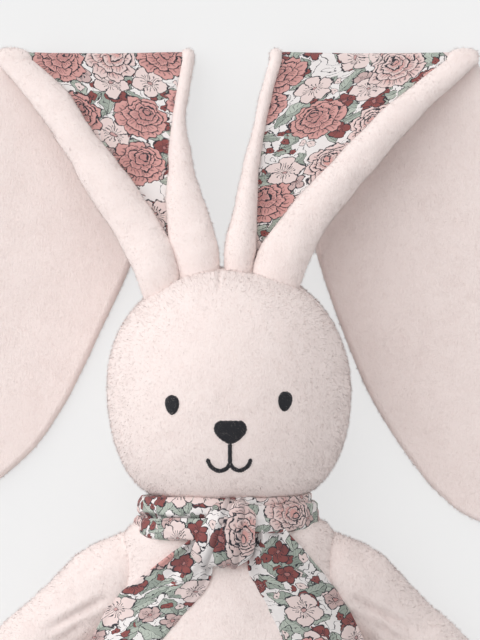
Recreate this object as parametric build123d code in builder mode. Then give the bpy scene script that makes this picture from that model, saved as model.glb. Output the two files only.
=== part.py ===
from build123d import *
from math import cos, radians, sin, sqrt
import os

# A stuffed bunny lying on its back: a round head with long lop ears that run up to a fold and fall
# back beside it, a pear-shaped body, two arms, two legs, a tail, and a printed scarf tied at the neck.
# Millimetres. +Z is up through the chest, +Y runs to the crown, +X to the bunny's own left.
# "left" and "right" are as seen from above, looking at the face. The origin is on the flat of the back.

os.makedirs("parts", exist_ok=True)

# ---- cloth, seams and clearances
PILE_CLOTH = 2.2        # velour with its pile
SHELL_CLOTH = 2.5       # velour on the back of an ear
LINING_CLOTH = 1.5      # printed cotton with its wadding on the front of an ear
SCARF_CLOTH = 2.4       # the scarf strip, folded double
THREAD_RISE = 0.8       # satin stitch above the pile
RUN_GAP = 0.3           # between pieces that move against each other
THINNEST = 1.2          # half the stuffing where a limb runs out to its seam

# ---- head
HEAD_WIDTH = 113.0
HEAD_DEPTH = 94.0       # front to back
HEAD_PRESS = 3.0        # how far the back of the head is pressed flat
CROWN_Y = 192.0
CHEEK_Y = 134.0         # where the head is widest
CHIN_HALF_WIDTH = 39.5
CHIN_Y = 87.0
CHEEK_DROP = 26.0       # from the widest line down to the fullest part of the cheek
CHEEK_HALF_WIDTH = 52.5
HEAD_NECK_RADIUS = 24.0
HEAD_SEAM_CROWN_Z = 58.0
HEAD_SEAM_CHIN_Z = 40.0

# ---- neck
NECK_Y = 77.0           # top of the body
NECK_LENGTH = 6.0       # from the body to the head
NECK_RADIUS = 13.0      # the stuffing that the head turns on
NECK_HEIGHT = 34.0      # front to back
NECK_TURN_Y = 80.0      # where the head turns

# ---- face
EYE_SPACING = 50.8
EYE_Y = 128.4
EYE_WIDTH = 6.6
EYE_HEIGHT = 9.2
NOSE_WIDTH = 15.0
NOSE_HEIGHT = 10.8
NOSE_TOP_Y = 120.7
NOSE_CHIN_WIDTH = 4.4
NOSE_ROUND = 2.6
MOUTH_HALF_WIDTH = 9.9
MOUTH_CORNER_Y = 103.4
MOUTH_DIP_Y = 98.2
MOUTH_PEAK_Y = 100.7
THREAD_WIDTH = 1.9

# ---- body: distance up the body, half width, half depth, height of the middle
BODY_STATIONS = (
    (-62.0, 10.0, 7.0, 25.0),
    (-56.5, 30.0, 19.0, 27.0),
    (-45.0, 52.0, 30.5, 30.0),
    (-15.0, 66.5, 36.5, 34.5),
    (16.0, 62.0, 36.5, 35.5),
    (44.0, 52.0, 34.0, 37.5),
    (66.0, 41.0, 29.5, 41.5),
    (NECK_Y, 28.0, 24.0, 44.0),
)
BODY_SEAM_Z = 36.0

# ---- ears
EAR_ROOT_Z = 58.0
EAR_ROOT_WIDTH = 30.0
EAR_ROOT_HALF_THICK = 3.8   # both edges are folded in, so the root is four cloths thick
EAR_ROOT_SEAT = 3.85        # from the head's ellipsoid to the line that the ear bends on
EAR_FOLD_Y = 291.0
EAR_LENGTH = 229.0          # from the fold to the tip
EAR_LEAF = ((-22.0, 43.5), (40.0, 50.0), (90.0, 51.5), (130.0, 49.0), (165.0, 44.5), (190.0, 36.0),
            (208.0, 25.0), (222.0, 12.0))   # distance from the fold, half width
EARS = {
    "left": {"root_x": -22.0, "fold_x": -61.35, "fold_width": 94.5, "splay": -22.0},
    "right": {"root_x": 15.2, "fold_x": 71.0, "fold_width": 99.4, "splay": 14.0},
}

# ---- arms and legs: distance along the limb, bend to its upper side, half width, half depth, height
SHOULDER = (60.0, 44.0)
ARM_DROP = 42.0         # degrees below straight out
ARM_STATIONS = (
    (0.0, 0.0, 8.0, 3.0, 34.0),
    (14.0, 2.0, 17.0, 10.5, 26.0),
    (31.0, 1.6, 18.5, 15.0, 19.5),
    (48.5, 0.0, 18.5, 16.0, 15.5),
    (65.0, -2.0, 17.0, 15.0, 14.5),
    (75.5, -3.3, 12.0, 11.0, 13.5),
    (80.0, -4.0, 5.0, 5.0, 13.5),
)
HIP = (30.0, -57.9)
LEG_DROP = 80.0
LEG_STATIONS = (
    (0.0, 0.0, 9.0, 1.6, 30.0),
    (16.0, 0.0, 18.0, 12.5, 20.5),
    (42.0, 0.0, 21.5, 16.5, 15.5),
    (70.0, 0.0, 21.0, 17.5, 16.5),
    (88.0, 0.0, 20.0, 18.0, 17.0),
    (99.0, 0.0, 12.5, 11.5, 16.5),
    (102.5, 0.0, 5.0, 5.0, 16.5),
)

# ---- tail
TAIL_RADIUS = 14.0
TAIL_SINK = 4.0         # how far the ball's middle stands behind its sewn face

# ---- scarf
BAND_STATIONS = ((63.0, 47.0, 35.5, 41.0), (69.5, 43.0, 33.5, 42.0), (76.0, 34.5, 29.5, 44.0))
KNOT_CENTRE = (-3.0, 68.5, 75.0)
KNOT_WIDTH = 27.0
KNOT_LENGTH = 24.0
KNOT_HEIGHT = 22.0
TAIL_STRIP_LENGTH = 95.0
TAIL_STRIP_ROOT_WIDTH = 14.0
TAIL_STRIP_END_WIDTH = 34.0
TAIL_STRIP_ROLL = 17.0
TAIL_STRIP_LIFT = 4.6       # above the chest
STRIPS = {
    "left": {"start": (-11.1, 57.2), "splay": 39.0},
    "right": {"start": (5.1, 57.9), "splay": 33.0},
}

SIDES = {"left": -1, "right": 1}


def save(builder, name):
    """Label a finished piece and write it under its own name."""
    builder.part.label = name
    export_step(builder.part, f"parts/{name}.step")


# ---------------------------------------------------------------- shared shapes

def oval_form(stations, inset=0.0):
    """A stuffed form lofted through ovals, flat where it lies. Each station is its middle, the way
    the form heads there, its half width and its half depth. inset gives the stuffing in the cloth."""
    last = len(stations) - 1
    with BuildPart(mode=Mode.PRIVATE) as form:
        for i, (middle, heading, half_width, half_depth) in enumerate(stations):
            shift = {0: inset, last: -inset}.get(i, 0.0)
            across = heading.cross(Vector(0, 0, 1))
            with BuildSketch(Plane(middle + heading * shift, x_dir=across, z_dir=heading)):
                Ellipse(max(half_width - inset, THINNEST), max(half_depth - inset, THINNEST))
        loft()
        split(bisect_by=Plane.XY.offset(inset), keep=Keep.TOP)
    return form.part


def skin_between(outer, inner):
    """The cloth all round a stuffed form."""
    with BuildPart(mode=Mode.PRIVATE) as skin:
        add(outer)
        add(inner, mode=Mode.SUBTRACT)
    return skin.part


def cloth_panel(name, skin, *cuts):
    """One cut piece of the cloth, kept on the top side of each cut."""
    with BuildPart() as panel:
        add(skin)
        for cut in cuts:
            split(bisect_by=cut, keep=Keep.TOP)
    save(panel, name)


def stuffing(name, inner):
    """The filling that the cloth holds."""
    with BuildPart() as core:
        add(inner)
    save(core, name)


# ---------------------------------------------------------------- head

HEAD_HALF_WIDTH = HEAD_WIDTH / 2
HEAD_HALF_DEPTH = HEAD_DEPTH / 2
HEAD_Z = HEAD_HALF_DEPTH - HEAD_PRESS
CROWN_RISE = CROWN_Y - CHEEK_Y
HEAD_BASE_Y = NECK_Y + NECK_LENGTH
BROW_TURNS = (0, 18, 36, 52, 66, 78, 86)    # degrees from the widest line to the crown


def head_form(grow=0.0):
    """The head: ovals from the neck to the fullest of the cheek, then an ellipsoid up to the crown."""
    rows = [
        (HEAD_BASE_Y - grow, HEAD_NECK_RADIUS + grow / 2),
        (CHIN_Y - grow / 2, CHIN_HALF_WIDTH + grow),
        (CHEEK_Y - CHEEK_DROP, CHEEK_HALF_WIDTH + grow),
    ]
    for turn in BROW_TURNS:
        rise = (CROWN_RISE + grow) * sin(radians(turn))
        rows.append((CHEEK_Y + rise, (HEAD_HALF_WIDTH + grow) * cos(radians(turn))))
    depth_ratio = (HEAD_HALF_DEPTH + grow) / (HEAD_HALF_WIDTH + grow)
    with BuildPart(mode=Mode.PRIVATE) as form:
        for y, half_width in rows:
            with BuildSketch(Plane((0, y, HEAD_Z), x_dir=(1, 0, 0), z_dir=(0, 1, 0))):
                Ellipse(half_width, half_width * depth_ratio)
        loft()
        split(bisect_by=Plane.XY.offset(max(-grow, 0)), keep=Keep.TOP)
    return form.part


head_outer = head_form()
head_inner = head_form(-PILE_CLOTH)


def neck_column(clearance=0.0):
    """An upright column round the line that the head turns on."""
    height = NECK_HEIGHT + 2 * clearance
    with BuildPart(mode=Mode.PRIVATE) as column:
        with BuildSketch(Plane((0, NECK_TURN_Y, HEAD_Z - height / 2))):
            Circle(NECK_RADIUS + clearance)
        extrude(amount=height)
    return column.part


neck_socket = neck_column(RUN_GAP)

# The seam runs round the side of the head, a little further forward at the crown than at the chin.
seam_run = Vector(0, CROWN_Y - NECK_Y, HEAD_SEAM_CROWN_Z - HEAD_SEAM_CHIN_Z).normalized()
head_seam = Plane((0, NECK_Y, HEAD_SEAM_CHIN_Z), x_dir=(1, 0, 0), z_dir=Vector(1, 0, 0).cross(seam_run))
left_of_middle = Plane((0, 0, 0), x_dir=(0, 1, 0), z_dir=(-1, 0, 0))
right_of_middle = Plane((0, 0, 0), x_dir=(0, 1, 0), z_dir=(1, 0, 0))

head_skin = skin_between(head_outer, head_inner) - neck_socket
cloth_panel("head_front_panel", head_skin, head_seam)
cloth_panel("head_back_panel_left", head_skin, -head_seam, left_of_middle)
cloth_panel("head_back_panel_right", head_skin, -head_seam, right_of_middle)
stuffing("head_stuffing", head_inner - neck_socket)

# ---------------------------------------------------------------- embroidered face

thread_outer = head_form(THREAD_RISE)


def embroidery(name, outline):
    """Satin stitch: the outline raised from the pile by the height of the thread."""
    with BuildPart() as stitches:
        extrude(to_extrude=outline, amount=HEAD_DEPTH)
        add(thread_outer, mode=Mode.INTERSECT)
        add(head_outer, mode=Mode.SUBTRACT)
    save(stitches, name)


FACE_PLANE = Plane.XY.offset(HEAD_Z)
NOSE_LOW_Y = NOSE_TOP_Y - NOSE_HEIGHT

for side_name, side in SIDES.items():
    with BuildSketch(FACE_PLANE) as eye:
        with Locations((side * EYE_SPACING / 2, EYE_Y)):
            Ellipse(EYE_WIDTH / 2, EYE_HEIGHT / 2)
    embroidery(f"eye_{side_name}", eye.sketch)

with BuildSketch(FACE_PLANE) as nose:
    with BuildLine():
        Polyline(
            (-NOSE_WIDTH / 2, NOSE_TOP_Y),
            (NOSE_WIDTH / 2, NOSE_TOP_Y),
            (NOSE_WIDTH / 2, NOSE_TOP_Y - NOSE_ROUND * 1.5),
            (NOSE_CHIN_WIDTH / 2, NOSE_LOW_Y),
            (-NOSE_CHIN_WIDTH / 2, NOSE_LOW_Y),
            (-NOSE_WIDTH / 2, NOSE_TOP_Y - NOSE_ROUND * 1.5),
            close=True,
        )
    make_face()
    fillet(vertices(), radius=NOSE_ROUND / 2)
embroidery("nose", nose.sketch)

with BuildSketch(FACE_PLANE) as mouth:
    with Locations((0, (NOSE_LOW_Y + MOUTH_PEAK_Y) / 2)):
        Rectangle(THREAD_WIDTH, NOSE_LOW_Y - MOUTH_PEAK_Y)
    for side in SIDES.values():
        with BuildLine():
            Spline(
                (0, MOUTH_PEAK_Y),
                (side * MOUTH_HALF_WIDTH / 2, MOUTH_DIP_Y),
                (side * MOUTH_HALF_WIDTH, MOUTH_CORNER_Y),
            )
        trace(line_width=THREAD_WIDTH)
embroidery("mouth", mouth.sketch)

# ---------------------------------------------------------------- neck

with BuildPart() as neck_stuffing:
    add(neck_column())
    split(bisect_by=Plane.XZ.offset(-NECK_Y - RUN_GAP), keep=Keep.BOTTOM)
save(neck_stuffing, "neck_stuffing")

# ---------------------------------------------------------------- body

UP_BODY = Vector(0, 1, 0)


def body_stations(rows):
    return [(Vector(0, y, z), UP_BODY, half_width, half_depth) for y, half_width, half_depth, z in rows]


def chest_height(x, y):
    """Height of the chest over a point of the plan."""
    for low, high in zip(BODY_STATIONS, BODY_STATIONS[1:]):
        if low[0] <= y <= high[0]:
            share = (y - low[0]) / (high[0] - low[0])
            half_width, half_depth, middle = (a + (b - a) * share for a, b in zip(low[1:], high[1:]))
            return middle + half_depth * sqrt(max(1 - (x / half_width) ** 2, 0))
    return 0.0


torso_outer = oval_form(body_stations(BODY_STATIONS))
torso_inner = oval_form(body_stations(BODY_STATIONS), PILE_CLOTH)
body_seam = Plane.XY.offset(BODY_SEAM_Z)

torso_skin = skin_between(torso_outer, torso_inner)
cloth_panel("torso_front_panel", torso_skin, body_seam)
cloth_panel("torso_back_panel_left", torso_skin, -body_seam, left_of_middle)
cloth_panel("torso_back_panel_right", torso_skin, -body_seam, right_of_middle)
stuffing("torso_stuffing", torso_inner)

# ---------------------------------------------------------------- tail

def tail_ball(inset):
    """The ball of the tail, flat where it is sewn to the end of the body."""
    seat_y = BODY_STATIONS[0][0]
    with BuildPart(mode=Mode.PRIVATE) as ball:
        with Locations((0, seat_y - TAIL_SINK, TAIL_RADIUS)):
            Sphere(TAIL_RADIUS - inset)
        split(bisect_by=Plane.XZ.offset(inset - seat_y), keep=Keep.TOP)
    return ball.part


tail_outer = tail_ball(0)
tail_inner = tail_ball(PILE_CLOTH)
cloth_panel("tail_cover", skin_between(tail_outer, tail_inner))
stuffing("tail_stuffing", tail_inner)

# ---------------------------------------------------------------- arms and legs

def limb(name, root, drop, rows):
    """A pair of arms or legs: front cloth, back cloth and stuffing, parted along the level of the seam.
    The root and drop are those of the left one, and the right one mirrors it."""
    heading = Vector(-cos(radians(drop)), -sin(radians(drop)), 0)
    upper_side = Vector(-sin(radians(drop)), cos(radians(drop)), 0)
    start = Vector(-root[0], root[1], 0)
    stations = [
        (start + heading * run + upper_side * bend + Vector(0, 0, z), heading, half_width, half_depth)
        for run, bend, half_width, half_depth, z in rows
    ]
    outer = oval_form(stations)
    inner = oval_form(stations, PILE_CLOTH)
    skin = skin_between(outer, inner)
    seam = Plane.XY.offset(stations[-1][0].Z)
    pieces = {"front_panel": (skin, [seam]), "back_panel": (skin, [-seam]), "stuffing": (inner, [])}
    for piece, (form, cuts) in pieces.items():
        with BuildPart() as left:
            add(form)
            for cut in cuts:
                split(bisect_by=cut, keep=Keep.TOP)
        save(left, f"{name}_left_{piece}")
        with BuildPart() as right:
            add(mirror(left.part, about=Plane.YZ, mode=Mode.PRIVATE))
        save(right, f"{name}_right_{piece}")


limb("arm", SHOULDER, ARM_DROP, ARM_STATIONS)
limb("leg", HIP, LEG_DROP, LEG_STATIONS)

# ---------------------------------------------------------------- ears

EAR_CLOTHS = {"shell": (0.0, SHELL_CLOTH), "lining": (SHELL_CLOTH, SHELL_CLOTH + LINING_CLOTH)}
EAR_CLOTH = SHELL_CLOTH + LINING_CLOTH


def ear_root(x):
    """The middle of the line that an ear bends on: level, and just off the head at the ear's inner edge."""
    inner_x = x - EAR_ROOT_WIDTH / 2 * (1 if x > 0 else -1)
    rise = EAR_ROOT_Z - HEAD_Z
    up = CROWN_RISE * sqrt(1 - (inner_x / HEAD_HALF_WIDTH) ** 2 - (rise / HEAD_HALF_DEPTH) ** 2)
    normal = Vector(inner_x / HEAD_HALF_WIDTH**2, up / CROWN_RISE**2, rise / HEAD_HALF_DEPTH**2)
    edge = Vector(inner_x, CHEEK_Y + up, EAR_ROOT_Z) + normal.normalized() * EAR_ROOT_SEAT
    return Vector(x, edge.Y, edge.Z)


def ear_base(name, ear, cloth):
    """The part of an ear that runs from the head down to the fold, one cloth of it."""
    low, high = EAR_CLOTHS[cloth]
    root, along = ear_root(ear["root_x"]), Vector(1, 0, 0)
    base_z = EAR_CLOTH + RUN_GAP
    fold = Vector(ear["fold_x"], EAR_FOLD_Y - RUN_GAP / 2, base_z)
    way = fold - root
    heading = (way - along * way.dot(along)).normalized()
    root_scale = 2 * EAR_ROOT_HALF_THICK / EAR_CLOTH
    with BuildPart() as layer:
        with BuildSketch(Plane(root, x_dir=along, z_dir=heading)):
            with Locations((0, EAR_ROOT_HALF_THICK - (low + high) / 2 * root_scale)):
                Rectangle(EAR_ROOT_WIDTH, (high - low) * root_scale)
        with BuildSketch(Plane(fold, x_dir=(1, 0, 0), z_dir=(0, 1, 0))):
            with Locations((0, -(low + high) / 2)):
                Rectangle(ear["fold_width"], high - low)
        loft(ruled=True)
    save(layer, name)


def ear_flap(name, ear, cloth):
    """The part of an ear that is folded back and lies on its lining, one cloth of it."""
    low, high = EAR_CLOTHS[cloth]
    lie = Plane((ear["fold_x"], EAR_FOLD_Y, EAR_CLOTH - high)).rotated((0, 0, ear["splay"]))
    with BuildPart() as layer:
        with BuildSketch(lie):
            with BuildLine():
                inner_side = [(half, -run) for run, half in EAR_LEAF]
                outer_side = [(-half, -run) for run, half in reversed(EAR_LEAF)]
                edge = Spline(*inner_side, (0, -EAR_LENGTH), *outer_side)
                Line(edge @ 1, edge @ 0)
            make_face()
        extrude(amount=high - low)
        split(bisect_by=Plane.XZ.offset(RUN_GAP / 2 - EAR_FOLD_Y), keep=Keep.TOP)
    save(layer, name)


for side_name, ear in EARS.items():
    for cloth in EAR_CLOTHS:
        ear_base(f"ear_{side_name}_base_{cloth}", ear, cloth)
        ear_flap(f"ear_{side_name}_flap_{cloth}", ear, cloth)

# ---------------------------------------------------------------- scarf

with BuildPart() as scarf_band:
    add(oval_form(body_stations(BAND_STATIONS)))
    add(torso_outer, mode=Mode.SUBTRACT)
save(scarf_band, "scarf_band")

with BuildPart() as scarf_knot:
    with Locations(KNOT_CENTRE):
        Sphere(KNOT_WIDTH / 2)
    scale(by=(1, KNOT_LENGTH / KNOT_WIDTH, KNOT_HEIGHT / KNOT_WIDTH), about=KNOT_CENTRE)
    add(torso_outer, mode=Mode.SUBTRACT)
    add(scarf_band.part, mode=Mode.SUBTRACT)
save(scarf_knot, "scarf_knot")


def scarf_tail(name, side, start, splay):
    """A hanging end of the scarf: a strip that follows the chest and widens to its end."""
    way = Vector(side * sin(radians(splay)), -cos(radians(splay)), 0)
    flat_across = Vector(-way.Y * side, way.X * side, 0)
    roll = radians(TAIL_STRIP_ROLL)
    across = flat_across * cos(roll) - Vector(0, 0, 1) * sin(roll)

    plane = Plane(Vector(*start, KNOT_CENTRE[2]), x_dir=way, z_dir=across * side)
    rise = plane.y_dir if plane.y_dir.Z > 0 else -plane.y_dir

    def room(run, lift):
        """The least height of the strip above the chest, across its width."""
        half = (TAIL_STRIP_ROOT_WIDTH
                + (TAIL_STRIP_END_WIDTH - TAIL_STRIP_ROOT_WIDTH) * run / TAIL_STRIP_LENGTH) / 2
        middle = plane.origin + way * run + rise * lift
        spots = [middle + across * (half * share) for share in (-1, -0.5, 0, 0.5, 1)]
        return min(spot.Z - chest_height(spot.X, spot.Y) for spot in spots)

    def lie(run):
        """How far up the strip's middle lies, found by halving, so that it just clears the chest."""
        low, high = -HEAD_DEPTH, HEAD_DEPTH
        for _ in range(20):
            lift = (low + high) / 2
            if room(run, lift) > TAIL_STRIP_LIFT + SCARF_CLOTH / 2:
                high = lift
            else:
                low = lift
        return high * (1 if plane.y_dir.Z > 0 else -1)

    runs = [TAIL_STRIP_LENGTH * share for share in (0, 0.33, 0.67, 1)]
    with BuildPart() as strip:
        with BuildSketch(plane):
            with BuildLine():
                top = Spline(*[(run, lie(run) + SCARF_CLOTH / 2) for run in runs])
                low = Spline(*[(run, lie(run) - SCARF_CLOTH / 2) for run in runs])
                Line(top @ 0, low @ 0)
                Line(top @ 1, low @ 1)
            make_face()
        extrude(amount=TAIL_STRIP_END_WIDTH / 2, both=True)
        with BuildSketch(Plane(plane.origin, x_dir=way, z_dir=rise)):
            with BuildLine():
                Polyline(
                    (0, TAIL_STRIP_ROOT_WIDTH / 2),
                    (TAIL_STRIP_LENGTH, TAIL_STRIP_END_WIDTH / 2),
                    (TAIL_STRIP_LENGTH, -TAIL_STRIP_END_WIDTH / 2),
                    (0, -TAIL_STRIP_ROOT_WIDTH / 2),
                    close=True,
                )
            make_face()
        extrude(amount=HEAD_DEPTH, both=True, mode=Mode.INTERSECT)
    save(strip, name)


for side_name, strip in STRIPS.items():
    scarf_tail(f"scarf_tail_{side_name}", SIDES[side_name], strip["start"], strip["splay"])
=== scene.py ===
import bpy
import numpy as np
from bpy.props import FloatProperty, FloatVectorProperty, PointerProperty
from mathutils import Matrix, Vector


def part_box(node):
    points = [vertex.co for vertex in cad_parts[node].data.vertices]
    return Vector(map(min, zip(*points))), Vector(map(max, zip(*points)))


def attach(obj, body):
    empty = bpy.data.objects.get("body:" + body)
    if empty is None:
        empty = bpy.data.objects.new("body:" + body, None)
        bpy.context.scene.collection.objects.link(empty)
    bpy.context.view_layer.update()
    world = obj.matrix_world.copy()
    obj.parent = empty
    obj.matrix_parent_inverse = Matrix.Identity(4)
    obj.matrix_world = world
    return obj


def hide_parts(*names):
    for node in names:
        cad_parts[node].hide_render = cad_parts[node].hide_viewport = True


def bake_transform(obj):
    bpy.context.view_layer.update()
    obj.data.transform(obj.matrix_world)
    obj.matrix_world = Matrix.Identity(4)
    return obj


# The finish of a lop-eared velour bunny that lies on its back: velour skins with their seams, print-lined
# ears, satin-stitched face and a tied cotton scarf. Shapes are worked out in millimetres as whole grids.
# +Z is up through the chest, +Y to the crown, and "left" is the side of -X.

bl_info = {
    "name": "Velour bunny dresser",
    "version": (1, 0, 0),
    "blender": (4, 5, 0),
    "location": "View3D > Sidebar > Bunny",
    "description": "Makes the velour, print and embroidery of a lop-eared toy bunny round its CAD model",
    "category": "Add Mesh",
}

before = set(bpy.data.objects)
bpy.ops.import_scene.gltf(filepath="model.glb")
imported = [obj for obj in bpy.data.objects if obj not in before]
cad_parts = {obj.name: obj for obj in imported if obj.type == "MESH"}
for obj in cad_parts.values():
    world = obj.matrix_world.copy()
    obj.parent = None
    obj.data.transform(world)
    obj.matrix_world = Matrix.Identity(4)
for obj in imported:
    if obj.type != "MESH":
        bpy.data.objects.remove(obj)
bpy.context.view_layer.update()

MM = 0.001
SIDES = {"left": -1, "right": 1}
DENSE = 4000            # points of an outline before it is resampled evenly

# ---------------------------------------------------------------- sizes and colours


def widest(node):
    """The width of a CAD node, in metres."""
    low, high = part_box(node)
    return high.x - low.x


def length(name, description, default):
    """A size that the user can change, in metres."""
    return FloatProperty(name=name, description=description, default=default, unit="LENGTH",
                         subtype="DISTANCE")


def colour(name, description, default):
    """A colour that the user can change."""
    return FloatVectorProperty(name=name, description=description, default=default, size=3,
                               min=0, max=1, subtype="COLOR")


class BunnySizes(bpy.types.PropertyGroup):
    head_width: length("Head width", "Across the cheeks", widest("head_front_panel"))
    body_width: length("Body width", "Across the widest of the belly", widest("torso_front_panel"))
    thread_width: length("Mouth line", "Width of the satin stitch of the mouth", 1.9 * MM)
    thread_rise: length("Thread height", "Height of the satin stitch above the cloth", 0.8 * MM)
    scarf_cloth: length("Scarf cloth", "Thickness of the folded scarf cloth", 1.1 * MM)


class BunnyColours(bpy.types.PropertyGroup):
    velour_light: colour("Velour, light", "Tips of the pile", (1.000, 0.878, 0.846))
    # deep pile colour, and also the painted shade along the seams and in the creases
    velour_deep_and_painted_shade: colour("Velour, deep", "Between the tufts and along the seams", (0.925, 0.790, 0.757))
    ground: colour("Print ground", "Cotton between the flowers", (0.880, 0.835, 0.825))
    rose: colour("Rose", "Large petals", (0.690, 0.365, 0.340))
    rose_deep: colour("Deep rose", "Heart of the large petals", (0.490, 0.225, 0.215))
    blush: colour("Blush", "Pale petals", (0.850, 0.700, 0.675))
    brick: colour("Brick", "Small flowers and berries", (0.275, 0.085, 0.080))
    sage: colour("Sage", "Leaves", (0.520, 0.565, 0.500))
    sage_deep: colour("Deep sage", "Shaded half of the leaves", (0.290, 0.335, 0.290))
    # print ink, and also the painted shade in the folds of the printed cloth
    ink: colour("Ink", "Outlines of the print", (0.040, 0.038, 0.048))
    thread: colour("Thread", "Embroidery", (0.022, 0.022, 0.026))


# ---------------------------------------------------------------- shapes as grids


def track(stations, at):
    """Cubic through stations. Each row is a place and its values; at is where they are wanted.
    Between two stations the values are the Hermite cubic with slopes from the stations on each side."""
    stations = np.asarray(stations, float)
    knots, values = stations[:, 0], stations[:, 1:]
    slopes = np.gradient(values, knots, axis=0)
    at = np.clip(np.asarray(at, float), knots[0], knots[-1])
    low = np.clip(np.searchsorted(knots, at, side="right") - 1, 0, len(knots) - 2)
    span = (knots[low + 1] - knots[low])[..., None]
    t = (at - knots[low])[..., None] / span
    return ((2 * t**3 - 3 * t**2 + 1) * values[low] + (t**3 - 2 * t**2 + t) * span * slopes[low]
            + (3 * t**2 - 2 * t**3) * values[low + 1] + (t**3 - t**2) * span * slopes[low + 1])


def smooth(low, high, value):
    """0 below low, 1 above high, and 3t^2 - 2t^3 between."""
    t = np.clip((value - low) / (high - low), 0, 1)
    return t * t * (3 - 2 * t)


def ridge(distance, width):
    """A bell across a line: exp(-(distance / width)^2)."""
    return np.exp(-((distance / width) ** 2))


def ripple(places, size, seed, waves=12):
    """Smooth noise of about -1 to 1: the mean of sine waves about size long in seeded directions."""
    dice = np.random.default_rng(seed)
    ways = dice.normal(size=(waves, 3))
    ways *= 2 * np.pi / (size * dice.uniform(0.7, 1.6, waves) * np.linalg.norm(ways, axis=1))[:, None]
    turns = dice.uniform(0, 2 * np.pi, waves)
    return np.sin(places @ ways.T + turns).sum(-1) / np.sqrt(waves * 2)


def circle(count):
    """Angles that are evenly far apart all the way round."""
    return np.linspace(0, 2 * np.pi, count, endpoint=False)


def spread(*parts):
    """Places from their parts, such as x, y and z, each spread over the shape that they share."""
    return np.stack(np.broadcast_arrays(*parts), axis=-1)


def along_line(points):
    """How far each point of a line lies from its start, along the line."""
    return np.concatenate([[0], np.cumsum(np.linalg.norm(np.diff(points, axis=0), axis=1))])


def through(points, count):
    """A smooth line of count points through some points: track, with the points one apart."""
    points = np.asarray(points, float)
    return track(np.column_stack([np.arange(len(points)), points]), np.linspace(0, len(points) - 1, count))


def even(profile, count):
    """A line of points resampled to count points that are evenly far apart along it."""
    runs = along_line(profile)
    at = np.linspace(0, runs[-1], count)
    return np.stack([np.interp(at, runs, column) for column in profile.T], axis=1)


def facing(grid, around=False):
    """Unit normals of a grid: the cross product of its two directions, and outwards if it closes round."""
    down = np.gradient(grid, axis=0)
    across = (np.roll(grid, -1, 1) - np.roll(grid, 1, 1)) / 2 if around else np.gradient(grid, axis=1)
    normal = np.cross(across, down)
    if around:
        normal *= np.sign((normal * (grid - grid.mean(1, keepdims=True))).sum())
    return normal / np.maximum(np.linalg.norm(normal, axis=-1, keepdims=True), 1e-9)


def push(grid, height, around=False):
    """The grid moved along its own normals by a height for each point."""
    return grid + facing(grid, around) * height[..., None]


def rest_on_floor(grid, softness=2.5, lowest=0.2):
    """Rounds off what would reach under the floor: z becomes (z + sqrt(z^2 + softness^2)) / 2."""
    z = grid[..., 2]
    lifted = (z + np.sqrt(z**2 + softness**2)) / 2
    return np.concatenate([grid[..., :2], np.maximum(lifted, lowest)[..., None]], axis=-1)


def line_distance(places, start, end):
    """Distance in plan from each place to the line between two points, and the share along that line."""
    start, end = np.asarray(start, float), np.asarray(end, float)
    way = end - start
    share = np.clip(((places[..., :2] - start) @ way) / (way @ way), 0, 1)
    return np.linalg.norm(places[..., :2] - (start + share[..., None] * way), axis=-1), share


def lattice_faces(rows, cols, around):
    """Quads of a grid of rows by cols, closed round the columns if asked."""
    index = np.arange(rows * cols).reshape(rows, cols)
    if around:
        index = np.concatenate([index, index[:, :1]], axis=1)
    return np.stack([index[:-1, :-1], index[1:, :-1], index[1:, 1:], index[:-1, 1:]], axis=-1).reshape(-1, 4)


def rim_faces(rows, cols, inner_from):
    """Quads that join the edge of an outer grid to that of its inner copy, all the way round."""
    index = np.arange(rows * cols).reshape(rows, cols)
    loop = np.concatenate([index[0, :-1], index[:-1, -1], index[-1, :0:-1], index[:0:-1, 0]])
    after = np.roll(loop, -1)
    return np.stack([loop, after, after + inner_from, loop + inner_from], axis=-1)


def make_piece(name, places, faces, cloth, print_at=None, tone=None, on_cut=None):
    """A mesh object from places in millimetres. cloth names its finish.
    print_at is each place on the flat cloth, in metres; the argument after it is painted shade, from 0 to 1,
    where a place lies deep in a seam or fold; and on_cut tells the places of a cut edge."""
    mesh = bpy.data.meshes.new(name)
    mesh.from_pydata((places * MM).tolist(), [], faces)
    if print_at is not None:
        corner = np.empty(len(mesh.loops), np.int32)
        mesh.loops.foreach_get("vertex_index", corner)
        mesh.uv_layers.new(name="cloth").data.foreach_set("uv", print_at[corner].astype(np.float32).ravel())
    # painted shade of seams and folds, from 0 to 1, kept on each point for the finishes
    layer = mesh.attributes.new("tone", "FLOAT", "POINT")
    layer.data.foreach_set("value", (np.zeros(len(places)) if tone is None else tone).astype(np.float32))
    mesh.validate()
    mesh.polygons.foreach_set("use_smooth", np.ones(len(mesh.polygons), bool))
    if on_cut is not None:
        ends = np.empty(2 * len(mesh.edges), np.int32)
        mesh.edges.foreach_get("vertices", ends)
        ends = ends.reshape(-1, 2)
        hem = mesh.attributes.new("sharp_edge", "BOOLEAN", "EDGE")
        hem.data.foreach_set("value", on_cut[ends].all(1))
    mesh.materials.append(finish(cloth))
    mesh.update()
    piece = bpy.data.objects.new(name, mesh)
    bpy.context.scene.collection.objects.link(piece)
    return piece


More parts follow.
